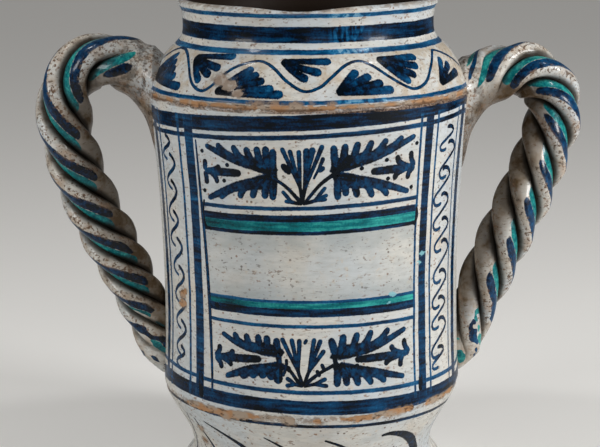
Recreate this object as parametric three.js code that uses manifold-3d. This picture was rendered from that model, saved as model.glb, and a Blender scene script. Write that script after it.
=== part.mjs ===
// Two-handled drug jar of tin-glazed earthenware.
// The jar stands on the plane Z = 0 with its axis on Z and a handle on each side along X. Sizes are in
// millimetres. Nothing on it moves: the thrown vessel carries two rope handles, each twisted from four
// rolled coils of clay whose ends sit in an upper and a lower root, luted to the shoulder and the wall.
import * as THREE from 'three';
import Module from 'manifold-3d';

// Vessel
const JAR_HEIGHT = 276;
const FOOT_RADIUS = 76;
const FOOT_EDGE_HEIGHT = 8;
const FOOT_CHAMFER = 1.5;
const FOOT_RING_WIDTH = 15;
const FOOT_RECESS = 2.5;
const WAIST_HEIGHT = 19;
const WAIST_RADIUS = 69;
const LOWER_ANGLE_HEIGHT = 56.5;
const LOWER_ANGLE_RADIUS = 85.6;
const BODY_HOLLOW = 4.6;
const UPPER_ANGLE_HEIGHT = 225.5;
const UPPER_ANGLE_RADIUS = 90.4;
const ANGLE_EASE = 1;
const NECK_BASE_HEIGHT = 252;
const NECK_RADIUS = 70.2;
const NECK_FLARE = 1;
const NECK_FILLET = 3.6;
const LIP_RADIUS = 72.8;
const LIP_HEIGHT = 4;
const LIP_ROLL = 6;
const LIP_UNDERCUT = 0.5;
const WALL = 6.5;
const FLOOR = 9;

// Rope handles
const ROPE_RADIUS = 16;
const GROOVE_DEPTH = 4.8;
const CREST_SKEW = 1.45;
const FINGER_ROOM = 32.6;
const GROOVE_RUN_OUT = 24;
const ROOT_ABOVE = 21;
const ROOT_BELOW = 42;
const ROOT_WIDTH = 43;
const ROOT_FILLET = 13;
const UPPER_ROOT_LENGTH = 30;
const ROOT_SEAT = 10.4;
const ROOT_CLIMB = 20.5;
const LOWER_ROOT_LENGTH = 56;
const LOWER_ROOT_THICKNESS = 24;
const TAPER_LENGTH = 100;
const LOWER_ROOT_TOE = 15;
const LOWER_ROOT_SEAT = 2;
const COIL_COUNT = 4;
const SOCKET_DEPTH = 6;
const UPPER_SOCKET_RADIUS = 9.5;
const LOWER_SOCKET_RADIUS = 6;
const CLEARANCE = 0.3;
const COIL_GAP = 0.4;

// What differs from handle to handle: how far the arch rises over the upper angle, the width and the drop of
// its bend, and the length of one full twist at the top and at the foot
const LEFT_ARCH_RISE = 16;
const LEFT_BEND_WIDTH = 22.5;
const LEFT_BEND_DROP = 28;
const LEFT_TOP_PITCH = 146;
const LEFT_FOOT_PITCH = 74;
const RIGHT_ARCH_RISE = 8;
const RIGHT_BEND_WIDTH = 20.5;
const RIGHT_BEND_DROP = 22;
const RIGHT_TOP_PITCH = 76;
const RIGHT_FOOT_PITCH = 116;

// Each handle, with the share of its fall that hangs straight, the turn at which its first groove lies and
// the way its coils lean
const HANDLES = [
  {
    name: 'left', side: -1, archRise: LEFT_ARCH_RISE, bendWidth: LEFT_BEND_WIDTH, bendDrop: LEFT_BEND_DROP,
    topPitch: LEFT_TOP_PITCH, footPitch: LEFT_FOOT_PITCH, hangShare: 0.31, firstGroove: 0.18, lean: 1,
  },
  {
    name: 'right', side: 1, archRise: RIGHT_ARCH_RISE, bendWidth: RIGHT_BEND_WIDTH, bendDrop: RIGHT_BEND_DROP,
    topPitch: RIGHT_TOP_PITCH, footPitch: RIGHT_FOOT_PITCH, hangShare: 0.2, firstGroove: 0.03, lean: -1,
  },
];

// Fineness of the facets
const LATHE_STEPS = 56;
const COIL_STEP = 5;
const ROOT_STEP = 3;
const LOBE_STEPS = 6;
const ROOT_POINTS_PER_COIL = 5;

const wasm = await Module();
wasm.setup();

const at = (r, z) => new THREE.Vector2(r, z);

const bezier = (a, b, c, d, steps) => new THREE.CubicBezierCurve(a, b, c, d).getPoints(steps);

const clamp01 = (x) => Math.min(1, Math.max(0, x));

const smooth = (x) => clamp01(x) ** 2 * (3 - 2 * clamp01(x));

// The foot's edge and the sweep in to the waist and out again to the lower angle
function footOutline() {
  const flare = FOOT_RADIUS - WAIST_RADIUS;
  const rise = LOWER_ANGLE_HEIGHT - WAIST_HEIGHT;
  const swell = LOWER_ANGLE_RADIUS - WAIST_RADIUS;
  const edge = at(FOOT_RADIUS - 0.1 * flare, FOOT_EDGE_HEIGHT);
  const waist = at(WAIST_RADIUS, WAIST_HEIGHT);
  const drop = WAIST_HEIGHT - FOOT_EDGE_HEIGHT;
  const upper = at(LOWER_ANGLE_RADIUS - 0.05 * swell, LOWER_ANGLE_HEIGHT - 0.07 * rise);
  return [
    at(FOOT_RADIUS - FOOT_CHAMFER, 0), at(FOOT_RADIUS, 1.2 * FOOT_CHAMFER),
    ...bezier(edge, at(edge.x - 0.3 * flare, FOOT_EDGE_HEIGHT + 0.35 * drop),
      at(WAIST_RADIUS, WAIST_HEIGHT - 0.45 * drop), waist, 3),
    ...bezier(waist, at(WAIST_RADIUS + 0.1 * swell, WAIST_HEIGHT + 0.35 * rise),
      at(WAIST_RADIUS + 0.66 * swell, WAIST_HEIGHT + 0.62 * rise), upper, 5).slice(1),
  ];
}

// The hollow-sided wall between the two angles
function wallOutline() {
  const rise = UPPER_ANGLE_HEIGHT - LOWER_ANGLE_HEIGHT;
  const spread = UPPER_ANGLE_RADIUS - LOWER_ANGLE_RADIUS;
  const low = at(LOWER_ANGLE_RADIUS, LOWER_ANGLE_HEIGHT + ANGLE_EASE);
  const high = at(UPPER_ANGLE_RADIUS, UPPER_ANGLE_HEIGHT - ANGLE_EASE);
  const hollow = (share) => at(
    LOWER_ANGLE_RADIUS + share * spread - BODY_HOLLOW, LOWER_ANGLE_HEIGHT + share * rise);
  return bezier(low, hollow(0.32), hollow(0.6), high, 6);
}

// The shoulder, the upright neck and the underside of the lip
function neckOutline() {
  const rise = NECK_BASE_HEIGHT - UPPER_ANGLE_HEIGHT;
  const lipLow = JAR_HEIGHT - LIP_HEIGHT;
  const shoulder = at(UPPER_ANGLE_RADIUS - 0.3 * ANGLE_EASE, UPPER_ANGLE_HEIGHT + 1.5 * ANGLE_EASE);
  const base = at(NECK_RADIUS + NECK_FILLET, NECK_BASE_HEIGHT);
  const throat = at(NECK_RADIUS, NECK_BASE_HEIGHT + 2.6 * NECK_FILLET);
  const drop = shoulder.x - base.x;
  return [
    ...bezier(shoulder, at(shoulder.x - 0.26 * drop, shoulder.y + 0.35 * rise),
      at(shoulder.x - 0.56 * drop, shoulder.y + 0.76 * rise), base, 4),
    ...bezier(base, at(NECK_RADIUS, base.y + 0.8 * NECK_FILLET),
      at(NECK_RADIUS, base.y + 1.7 * NECK_FILLET), throat, 3).slice(1),
    ...bezier(throat, at(NECK_RADIUS + 0.1 * NECK_FLARE, throat.y + 0.5 * (lipLow - throat.y)),
      at(NECK_RADIUS + 0.5 * NECK_FLARE, lipLow - 0.3 * LIP_UNDERCUT),
      at(NECK_RADIUS + NECK_FLARE + LIP_UNDERCUT, lipLow), 3).slice(1),
  ];
}

// The low lip, from its outer face over the flat top and in to the mouth
function lipOutline() {
  const low = JAR_HEIGHT - LIP_HEIGHT;
  return [
    at(LIP_RADIUS - 0.05 * LIP_ROLL, low + 0.1 * LIP_HEIGHT), at(LIP_RADIUS, low + 0.35 * LIP_HEIGHT),
    at(LIP_RADIUS - 0.02 * LIP_ROLL, low + 0.7 * LIP_HEIGHT),
    at(LIP_RADIUS - 0.2 * LIP_ROLL, JAR_HEIGHT - 0.04 * LIP_HEIGHT),
    at(LIP_RADIUS - 0.4 * LIP_ROLL, JAR_HEIGHT), at(LIP_RADIUS - 0.7 * LIP_ROLL, JAR_HEIGHT),
    at(LIP_RADIUS - LIP_ROLL, JAR_HEIGHT - 0.2 * LIP_HEIGHT),
  ];
}

const OUTER = [...footOutline(), ...wallOutline(), ...neckOutline()];

// Radius of the vessel's outside at a height
function outerRadius(z) {
  const above = OUTER.findIndex((p) => p.y >= z && p.y > 0);
  const i = above < 1 ? OUTER.length - 1 : above;
  const [a, b] = [OUTER[i - 1], OUTER[i]];
  return THREE.MathUtils.lerp(a.x, b.x, clamp01((z - a.y) / (b.y - a.y)));
}

// The inside follows the outside at the wall's thickness, measured square to the wall
function innerRadius(z) {
  const reach = 5;
  const slope = (outerRadius(z + reach) - outerRadius(z - reach)) / (2 * reach);
  return outerRadius(z) - WALL * Math.hypot(1, slope);
}

function innerOutline() {
  const lipLow = JAR_HEIGHT - LIP_HEIGHT;
  const stops = [
    [lipLow - 0.6 * LIP_HEIGHT, NECK_BASE_HEIGHT + 2 * NECK_FILLET, 1],
    [NECK_BASE_HEIGHT + 0.5 * NECK_FILLET, UPPER_ANGLE_HEIGHT, 2],
    [UPPER_ANGLE_HEIGHT - WALL, LOWER_ANGLE_HEIGHT + 0.6 * WALL, 3],
    [LOWER_ANGLE_HEIGHT - 0.6 * WALL, WAIST_HEIGHT + 0.6 * WALL, 2],
  ];
  const points = stops.flatMap(([from, to, steps]) => Array.from({ length: steps + 1 }, (_, i) => {
    const z = THREE.MathUtils.lerp(from, to, i / steps);
    return at(innerRadius(z), z);
  }));
  const corner = innerRadius(WAIST_HEIGHT + 0.6 * WALL);
  return [...points, at(0.92 * corner, 1.3 * FLOOR), at(0.8 * corner, FLOOR), at(0, FLOOR)];
}

// Turns a profile about the jar's axis
function lathe(profile) {
  const geometry = new THREE.LatheGeometry(profile, LATHE_STEPS);
  return solidOf(geometry.rotateX(Math.PI / 2));
}

// Closes a geometry's seams and makes a solid of it, with its faces pointing out
function solidOf(geometry) {
  const source = geometry.getAttribute('position');
  const seen = new Map();
  const points = [];
  const alias = [];
  for (let i = 0; i < source.count; i++) {
    const p = [source.getX(i), source.getY(i), source.getZ(i)];
    const key = p.map((v) => Math.round(v * 1e4)).join();
    if (!seen.has(key)) {
      seen.set(key, points.length / 3);
      points.push(...p);
    }
    alias.push(seen.get(key));
  }
  const order = geometry.getIndex() ? Array.from(geometry.getIndex().array) : alias.map((_, i) => i);
  const faces = [];
  for (let i = 0; i < order.length; i += 3) {
    const [a, b, c] = [alias[order[i]], alias[order[i + 1]], alias[order[i + 2]]];
    if (a !== b && b !== c && c !== a) faces.push(a, b, c);
  }
  if (signedVolume(points, faces) < 0) faces.reverse();
  const mesh = new wasm.Mesh({
    numProp: 3, vertProperties: new Float32Array(points), triVerts: new Uint32Array(faces),
  });
  return new wasm.Manifold(mesh);
}

function signedVolume(points, faces) {
  const corner = (i) => new THREE.Vector3().fromArray(points, 3 * i);
  let sum = 0;
  for (let i = 0; i < faces.length; i += 3) {
    sum += corner(faces[i]).dot(corner(faces[i + 1]).cross(corner(faces[i + 2])));
  }
  return sum / 6;
}

// A named mesh from a solid
function piece(name, solid, material) {
  const { vertProperties, triVerts } = solid.getMesh();
  const geometry = new THREE.BufferGeometry();
  geometry.setAttribute('position', new THREE.BufferAttribute(new Float32Array(vertProperties), 3));
  geometry.setIndex(new THREE.BufferAttribute(new Uint32Array(triVerts), 1));
  geometry.computeVertexNormals();
  const mesh = new THREE.Mesh(geometry, material);
  mesh.name = name;
  return mesh;
}

// The centre line of a handle, out from the shoulder, over the arch and down into the wall, as a curve
// of distance from the jar's axis and height
function centreLine(handle) {
  const line = (r, z) => new THREE.Vector3(r, 0, z);
  const reach = UPPER_ANGLE_RADIUS + FINGER_ROOM + ROPE_RADIUS;
  const peak = UPPER_ANGLE_HEIGHT + handle.archRise;
  const crown = line(reach - handle.bendWidth, peak);
  const outermost = line(reach, peak - handle.bendDrop);
  const start = line(UPPER_ANGLE_RADIUS - ROOT_SEAT, peak - ROOT_CLIMB);
  const end = line(LOWER_ANGLE_RADIUS - LOWER_ROOT_SEAT, LOWER_ANGLE_HEIGHT + LOWER_ROOT_SEAT);
  const fall = outermost.z - end.z;
  const path = new THREE.CurvePath();
  path.add(new THREE.CubicBezierCurve3(start, line(start.x + 0.45 * ROOT_CLIMB, start.z + 0.5 * ROOT_CLIMB),
    line(start.x + ROOT_CLIMB, peak), crown));
  path.add(new THREE.CubicBezierCurve3(crown, line(crown.x + 0.55 * handle.bendWidth, peak),
    line(reach, outermost.z + 0.55 * handle.bendDrop), outermost));
  path.add(new THREE.CubicBezierCurve3(outermost, line(reach, outermost.z - handle.hangShare * fall),
    line(end.x + 5.5, end.z + 0.28 * fall), end));
  return path;
}

// Everything about one handle that its coils and roots share
function handleShape(handle) {
  const path = centreLine(handle);
  const length = path.getLength();
  const upperEnd = UPPER_ROOT_LENGTH;
  const lowerEnd = length - LOWER_ROOT_LENGTH;
  const gain = (1 / handle.footPitch - 1 / handle.topPitch) / (2 * length);
  const turns = (s) => s / handle.topPitch + gain * s * s;
  const shape = { ...handle, path, length, upperEnd, lowerEnd };
  shape.twist = (s) => 2 * Math.PI * (turns(s) + handle.firstGroove);
  shape.radius = (s) => {
    const taper = clamp01(1 - (length - s) / TAPER_LENGTH) ** 1.6;
    const toe = clamp01((length - s) / LOWER_ROOT_TOE) ** 0.7;
    return THREE.MathUtils.lerp(ROPE_RADIUS, LOWER_ROOT_THICKNESS / 2, taper) * (0.2 + 0.8 * toe);
  };
  shape.groove = (s) => {
    const fade = smooth((s - upperEnd) / GROOVE_RUN_OUT) * smooth((length - s) / (0.8 * LOWER_ROOT_LENGTH));
    return GROOVE_DEPTH * fade * shape.radius(s) / ROPE_RADIUS;
  };
  shape.flare = (s) => {
    const out = path.getPointAt(clamp01(s / length)).x - outerRadius(UPPER_ANGLE_HEIGHT - ROOT_BELOW);
    return s > upperEnd ? 0 : clamp01(1 - out / ROOT_FILLET) ** 2;
  };
  return shape;
}

// The plane of a section: its centre and its outward and sideways directions. It stands upright at the
// shoulder and turns square to the rope by the end of the root.
function station(shape, s) {
  const centre = shape.path.getPointAt(clamp01(s / shape.length));
  const tangent = shape.path.getTangentAt(clamp01(Math.max(s, shape.upperEnd) / shape.length));
  const lean = smooth(2 * s / shape.upperEnd - 1) * Math.atan2(tangent.z, tangent.x);
  const out = new THREE.Vector3(-Math.sin(lean), 0, Math.cos(lean));
  return { centre, out, wide: new THREE.Vector3(0, 1, 0) };
}

// A point of a section by its distance from the centre and its angle, turned to the handle's own side
function place(shape, frame, distance, angle, stretch = [1, 1]) {
  const p = frame.centre.clone()
    .addScaledVector(frame.out, distance * stretch[0] * Math.cos(angle))
    .addScaledVector(frame.wide, distance * stretch[1] * Math.sin(angle));
  return new THREE.Vector3(shape.side * p.x, shape.side * p.y, p.z);
}

// How far the rope's surface stands out at a share of the way across one coil, 0 and 1 being grooves:
// the coil rises in a long hollow from the groove on its outer side and drops steeply to the inner one
function lobe(shape, s, share) {
  const across = shape.lean > 0 ? share : 1 - share;
  const crest = Math.sin(Math.PI * across ** CREST_SKEW);
  return shape.radius(s) - shape.groove(s) * (1 - Math.max(0, crest) ** 0.9);
}

// The outline of one coil's section: its point near the rope's centre, a flank, its lobe and the other flank
function coilSection(shape, s, index, limit) {
  const frame = station(shape, s);
  const span = 2 * Math.PI / COIL_COUNT;
  const from = shape.twist(s) + index * span;
  const half = COIL_GAP / 2;
  const points = [place(shape, frame, half / Math.sin(span / 2), from + span / 2)];
  const capped = (r) => Math.min(r, limit);
  const flank = (share, side) => {
    const r = share * capped(lobe(shape, s, 0));
    return place(shape, frame, r, from + (side ? span - Math.asin(half / r) : Math.asin(half / r)));
  };
  points.push(flank(0.5, 0), flank(1, 0));
  for (let i = 1; i < LOBE_STEPS; i++) {
    points.push(place(shape, frame, capped(lobe(shape, s, i / LOBE_STEPS)), from + span * i / LOBE_STEPS));
  }
  points.push(flank(1, 1), flank(0.5, 1));
  return points;
}

// Joins a row of outlines with equal numbers of points into a closed skin, ended by a fan at each end.
// From the given point on, the facets are split the other way, so that two facing flanks stay parallel.
function loft(rings, turnFrom = Infinity) {
  const count = rings[0].length;
  const points = rings.flat();
  const index = [];
  for (let i = 0; i + 1 < rings.length; i++) {
    for (let j = 0; j < count; j++) {
      const [a, b] = [i * count + j, i * count + (j + 1) % count];
      const [c, d] = [a + count, b + count];
      if (j < turnFrom) index.push(a, b, d, a, d, c);
      else index.push(a, b, c, b, d, c);
    }
  }
  for (const [start, flip] of [[0, false], [(rings.length - 1) * count, true]]) {
    const middle = new THREE.Vector3();
    for (let j = 0; j < count; j++) middle.addScaledVector(points[start + j], 1 / count);
    points.push(middle);
    for (let j = 0; j < count; j++) {
      const [a, b] = [start + j, start + (j + 1) % count];
      index.push(points.length - 1, ...(flip ? [a, b] : [b, a]));
    }
  }
  const geometry = new THREE.BufferGeometry().setFromPoints(points);
  geometry.setIndex(index);
  return solidOf(geometry);
}

function stations(from, to, step) {
  const steps = Math.max(1, Math.round((to - from) / step));
  return Array.from({ length: steps + 1 }, (_, i) => THREE.MathUtils.lerp(from, to, i / steps));
}

// One rolled coil of the rope, stepped down at each end to the tongue that sits in the root's socket
function coil(shape, index) {
  const top = shape.upperEnd + CLEARANCE;
  const foot = shape.lowerEnd - CLEARANCE;
  const ring = (s, limit = Infinity) => coilSection(shape, s, index, limit);
  const rings = [
    ring(shape.upperEnd - SOCKET_DEPTH, UPPER_SOCKET_RADIUS), ring(top, UPPER_SOCKET_RADIUS),
    ...stations(top, foot, COIL_STEP).map((s) => ring(s)),
    ring(foot, LOWER_SOCKET_RADIUS), ring(shape.lowerEnd + SOCKET_DEPTH, LOWER_SOCKET_RADIUS),
  ];
  return loft(rings, 2 + LOBE_STEPS).subtract(wallCutter);
}

// A full section of a root: the rope's own outline, flared into the wall where the root spreads
function rootSection(shape, s, limit = Infinity) {
  const frame = station(shape, s);
  const grow = (half) => 1 + (half / ROPE_RADIUS - 1) * shape.flare(s);
  const count = COIL_COUNT * ROOT_POINTS_PER_COIL;
  return Array.from({ length: count }, (_, i) => {
    const share = (i % ROOT_POINTS_PER_COIL) / ROOT_POINTS_PER_COIL;
    const angle = shape.twist(s) + 2 * Math.PI * i / count;
    const reach = Math.min(limit, lobe(shape, s, share));
    const upright = Math.cos(angle) > 0 ? ROOT_ABOVE : ROOT_BELOW;
    return place(shape, frame, reach, angle, [grow(upright), grow(ROOT_WIDTH / 2)]);
  });
}

// The pad of clay that carries the rope's upper end, with the socket for the coils
function upperRoot(shape) {
  const end = shape.upperEnd;
  const bore = UPPER_SOCKET_RADIUS + CLEARANCE;
  const rings = [...stations(0.1 * end, end, ROOT_STEP).map((s) => rootSection(shape, s)),
    rootSection(shape, end, bore), rootSection(shape, end - SOCKET_DEPTH - CLEARANCE, bore)];
  return loft(rings).subtract(wallCutter);
}

// The lower end, pressed against the wall and smeared down it to a feather edge
function lowerRoot(shape) {
  const start = shape.lowerEnd;
  const bore = LOWER_SOCKET_RADIUS + CLEARANCE;
  const rings = [rootSection(shape, start + SOCKET_DEPTH + CLEARANCE, bore), rootSection(shape, start, bore),
    ...stations(start, shape.length, ROOT_STEP).map((s) => rootSection(shape, s))];
  return loft(rings).subtract(wallCutter);
}

// Everything inside the vessel's outer surface, with the clearance that the luted pieces keep to it
const wallCutter = lathe([
  at(0, -1), ...OUTER.map((p) => at(p.x + CLEARANCE, p.y - (p.y ? 0 : 1))),
  at(NECK_RADIUS, JAR_HEIGHT + 1), at(0, JAR_HEIGHT + 1),
]);

function vessel() {
  const ring = FOOT_RADIUS - FOOT_RING_WIDTH;
  const foot = [at(0, FOOT_RECESS), at(ring - FOOT_RECESS, FOOT_RECESS), at(ring, 0)];
  return lathe([...foot, ...OUTER, ...lipOutline(), ...innerOutline()]);
}

const glaze = (color, roughness) => new THREE.MeshStandardMaterial({ color, roughness, metalness: 0 });

function jar() {
  const group = new THREE.Group();
  group.add(piece('vessel', vessel(), glaze(0xd9d2c4, 0.3)));
  for (const handle of HANDLES) {
    const shape = handleShape(handle);
    group.add(piece(`${handle.name}_upper_root`, upperRoot(shape), glaze(0xd3cabb, 0.32)));
    for (let i = 0; i < COIL_COUNT; i++) {
      group.add(piece(`${handle.name}_coil_${i + 1}`, coil(shape, i), glaze(0xc9c3b5, 0.34)));
    }
    group.add(piece(`${handle.name}_lower_root`, lowerRoot(shape), glaze(0xd6cdbe, 0.32)));
  }
  return group;
}

export default jar();
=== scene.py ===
"""Two-handled drug jar of tin-glazed earthenware: its thrown body, its rope handles and their painting.

The jar stands on the floor with its axis on Z, a handle on each side along X and its painted front towards
-Y. Sizes are in millimetres and angles in degrees, and become metres and radians where a mesh is made.
"""
from __future__ import annotations

import itertools
import logging
import math
from dataclasses import dataclass, field
from enum import Enum
from typing import Any, Callable, Union

import bpy
import numpy as np
from mathutils import Matrix, Vector

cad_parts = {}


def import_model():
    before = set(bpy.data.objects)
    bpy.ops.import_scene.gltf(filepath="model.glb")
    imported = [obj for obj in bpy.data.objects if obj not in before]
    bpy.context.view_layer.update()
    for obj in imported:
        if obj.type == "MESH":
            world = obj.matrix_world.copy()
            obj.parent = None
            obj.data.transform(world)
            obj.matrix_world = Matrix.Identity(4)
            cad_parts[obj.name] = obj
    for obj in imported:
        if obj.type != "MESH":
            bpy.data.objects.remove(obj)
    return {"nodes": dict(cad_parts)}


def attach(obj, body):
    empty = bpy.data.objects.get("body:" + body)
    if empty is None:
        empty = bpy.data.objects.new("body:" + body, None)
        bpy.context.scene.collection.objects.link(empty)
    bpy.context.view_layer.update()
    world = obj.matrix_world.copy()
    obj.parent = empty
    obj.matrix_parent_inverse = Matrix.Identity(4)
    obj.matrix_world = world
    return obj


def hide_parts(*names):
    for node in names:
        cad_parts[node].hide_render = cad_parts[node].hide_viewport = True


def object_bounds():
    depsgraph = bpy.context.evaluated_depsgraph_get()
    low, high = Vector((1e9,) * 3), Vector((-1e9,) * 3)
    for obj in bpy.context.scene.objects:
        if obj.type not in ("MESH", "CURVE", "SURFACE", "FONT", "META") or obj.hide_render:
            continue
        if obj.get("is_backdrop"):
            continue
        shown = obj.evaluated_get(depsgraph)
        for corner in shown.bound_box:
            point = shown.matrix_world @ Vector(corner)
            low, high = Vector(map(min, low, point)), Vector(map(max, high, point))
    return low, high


LOG = logging.getLogger("drug_jar")

MM = 0.001
JAR_BODY = "root"

# Heights of the jar's two angles and the sizes of the handles, as on the solid parts
UPPER_ANGLE = 225.5
LOWER_ANGLE = 56.5
ROPE_RADIUS = 16.0
FINGER_ROOM = 32.6
STRANDS = 4

# Points closer than this become one, in metres, and edges sharper than this stay sharp, in degrees
MERGE = 2e-6
SHARP = 60.0

Colour = tuple[float, float, float, float]
Point2 = tuple[float, float]
Triple = tuple[float, float, float]


def tone(code: str) -> Colour:
    """Turns a six-figure colour code into a linear, opaque colour.

    Args:
        code: the colour as two hexadecimal figures each for red, green and blue.

    Returns:
        The colour.
    """
    shown = [int(code[i:i + 2], 16) / 255 for i in (0, 2, 4)]
    red, green, blue = (v / 12.92 if v <= 0.04045 else ((v + 0.055) / 1.055) ** 2.4 for v in shown)
    return (red, green, blue, 1.0)


TONES: dict[str, Colour] = {name: tone(code) for name, code in {
    "cream": "cfccc4", "cool": "bfc5c8", "warm": "c8b59c", "shade": "a3a5a2",
    "speck": "4d3826", "rust": "80552f", "crack": "8d7b68",
    "blue_wash": "6f9bb4", "light_blue": "236c97", "blue": "013f66", "dark_blue": "00152e",
    "blue_pool": "000811", "green_wash": "35a69c", "green": "01686e", "dark_green": "012a33",
    "tan_clay": "a8805d", "pale_clay": "a39382", "pit": "4a3628", "worn_clay": "8c7868",
    "shoulder_tint": "b09c80", "panel_wash": "929a9c", "splash": "7db4bd", "inside": "1d140d",
    # The rope tones of grime and soot also serve as painted shade, on the ropes' inner side and in their
    # grooves
    "rope_tint": "c2ae97", "grime_and_shade": "54432f", "shade_and_soot": "1d160f", "floor": "e6e4e0", "sky": "e9e8e6",
}.items()}

# The painter's colours, from where the brush left a thin wash to where it left a thick pool
COBALT = ((0.0, "blue_wash"), (0.24, "light_blue"), (0.58, "blue"), (0.9, "dark_blue"), (1.0, "blue_pool"))
COPPER = ((0.0, "green_wash"), (0.5, "green"), (1.0, "dark_green"))


@dataclass(frozen=True)
class Cloud:
    """Cloudy noise: how big its clouds are, between which values it fades in, and how strong it gets.

    Layers and rough say how many finer layers it has and how strong they are, the seed moves the pattern so
    that no two are alike, and level and upright squeeze it sideways and upwards.
    """

    size: float
    low: float = 0.0
    high: float = 1.0
    share: float = 1.0
    layers: float = 2.0
    rough: float = 0.5
    seed: float = 0.0
    level: float = 1.0
    upright: float = 1.0


CLOUDS: dict[str, Cloud] = {
    # The glaze
    "cool": Cloud(45, 0.38, 0.66, 1, 2, 0.5, 0.31),
    "warm": Cloud(22, 0.5, 0.78, 0.45, 3, 0.5, 0.77),
    "mottle": Cloud(2.4, 0.36, 0.72, 0.42, 3, 0.65, 5.5, 0.24),
    "scratches": Cloud(1.1, 0.6, 0.7, 1, 2, 0.6, 3.9, 0.24),
    "scratch_field": Cloud(18, 0.4, 0.65, 0.6, 2, 0.5, 6.6),
    "crack_field": Cloud(16, 0.5, 0.7, 0.22, 2, 0.5, 1.3),
    "dashes": Cloud(1.5, 0.6, 0.67, 0.8, 2, 0.6, 9.3, 0.5),
    "speck_field": Cloud(8, 0.36, 0.52, 0.8, 3, 0.6, 2.1),
    "stains": Cloud(3.4, 0.58, 0.72, 0.5, 3, 0.65, 4.6),
    "rust": Cloud(9, 0.4, 0.6, 1, 2, 0.5, 1.7),
    "ripples": Cloud(7, layers=3, rough=0.55, seed=0.9),
    "grit": Cloud(0.9, seed=0.4),
    "dullness": Cloud(6, share=0.16, seed=0.5),
    "grain": Cloud(1.1, 0.4, 0.6, 0.4, seed=7.7),
    # Bare clay and wear
    "slip": Cloud(9, 0.42, 0.58, 1, 2, 0.5, 3.3),
    "clay_pits": Cloud(2.2, 0.5, 0.68, 0.85, 3, 0.65, 1.9, 0.5),
    "chip_edges": Cloud(2.0, share=0.5, layers=3, rough=0.6, seed=2.8, level=0.45),
    "chip_runs": Cloud(22, share=0.36, seed=5.7),
    "chip_stain": Cloud(3, 0.36, 0.56, 1, 3, 0.6, 8.1),
    "ragged": Cloud(3.4, share=9, layers=3, rough=0.7, seed=5.1, level=0.6),
    "lip_wear": Cloud(5, 0.36, 0.56, 1, 3, 0.6, 9.9),
    "crust": Cloud(4, 0.32, 0.52, 0.85, 3, 0.65, 2.2, 0.3),
    # The jar's painting
    "tremble": Cloud(2.2, share=0.5, seed=1.1),
    "wobble": Cloud(24, share=1.0, seed=0.6),
    "drift": Cloud(30, share=1.2, seed=6.2),
    "streaks": Cloud(3, 0.3, 0.55, 1.1, 3, 0.6, 0.2, 0.15, 1.6),
    "blots": Cloud(13, 0.3, 0.6, 0.6, seed=4.2),
    "tinted": Cloud(11, 0.42, 0.62, 0.6, 4, 0.65, 3.4),
    "grubby": Cloud(2.4, 0.6, 0.7, 0.6, 3, 0.65, 7.1),
    "scraped": Cloud(2.6, 0.42, 0.62, 0.45, upright=0.3),
    "stroke_edges": Cloud(1.0, share=0.34, seed=2.4),
    "stroke_blots": Cloud(3.6, share=1.1, layers=3, rough=0.6, seed=4.2),
    # The ropes
    "rope_sway": Cloud(11, seed=0.8),
    "rope_turn": Cloud(26, share=40, layers=1, seed=1.4),
    "rope_reach": Cloud(34, share=50, layers=1, seed=4.9),
    "rope_dabs": Cloud(10, layers=1, seed=9.4),
    "rope_edges": Cloud(1.6, share=0.35, seed=2.4),
    "rope_clouds": Cloud(12, layers=3, rough=0.6, seed=1.2),
    "rope_mottle": Cloud(3.2, share=0.9, layers=3, rough=0.6, seed=0.2),
    "rope_pits": Cloud(1.8, 0.53, 0.6, 1, 3, 0.62, 3.1),
    "rope_bare": Cloud(9, 0.5, 0.58, 0.34, 3, 0.6, 3.7),
    "rope_crust": Cloud(7, 0.5, 0.6, 1, 3, 0.65, 0.6),
    # The floor
    "floor": Cloud(60),
}


def smooth_step(value: np.ndarray) -> np.ndarray:
    """Eases values from 0 to 1, flat at both ends."""
    held = np.clip(value, 0, 1)
    return held * held * (3 - 2 * held)


def operator(operation: str, flipped: bool = False) -> Callable[["Value", "Operand"], "Value"]:
    """Makes the method that adds a Math node for one of Python's operators.

    Args:
        operation: the node's operation.
        flipped: whether the value stands to the right of the operator.

    Returns:
        The method.
    """
    def method(self: "Value", other: "Operand") -> "Value":
        """Adds the node."""
        return self.graph.math(operation, *((other, self) if flipped else (self, other)))
    return method


class Value:
    """A shader socket that takes part in sums; & keeps what both masks hold and | what either holds."""

    __add__, __radd__ = operator("ADD"), operator("ADD", True)
    __sub__, __rsub__ = operator("SUBTRACT"), operator("SUBTRACT", True)
    __mul__, __truediv__, __mod__ = operator("MULTIPLY"), operator("DIVIDE"), operator("FLOORED_MODULO")
    __and__, __or__ = operator("MULTIPLY"), operator("MAXIMUM")

    def __init__(self, graph: "Graph", socket: bpy.types.NodeSocket) -> None:
        """Keeps the graph and the socket."""
        self.graph = graph
        self.socket = socket

    def __abs__(self) -> "Value":
        """Drops the sign."""
        return self.graph.math("ABSOLUTE", self)

    def step(self, low: float, high: float) -> "Value":
        """Eases from 0 at low to 1 at high.

        Args:
            low: where the result is 0.
            high: where the result is 1; it may be the smaller of the two.

        Returns:
            The eased value.
        """
        if high < low:
            return 1 - self.step(high, low)
        sockets = {"Value": self, "From Min": low, "From Max": high}
        return self.graph.value("MapRange", {"interpolation_type": "SMOOTHSTEP"}, sockets)

    def part(self, low: float, high: float, share: float) -> "Value":
        """Eases from 0 at low to a share at high."""
        return self.step(low, high) * share

    def window(self, low: float, high: float, soft: float) -> "Value":
        """Is 1 between two values and 0 outside.

        Args:
            low: the lower edge.
            high: the upper edge.
            soft: the width over which each edge fades.

        Returns:
            The mask.
        """
        half = (high - low) / 2
        return abs(self - (low + high) / 2).step(half + soft / 2, half - soft / 2)


Operand = Union[Value, float]


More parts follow.
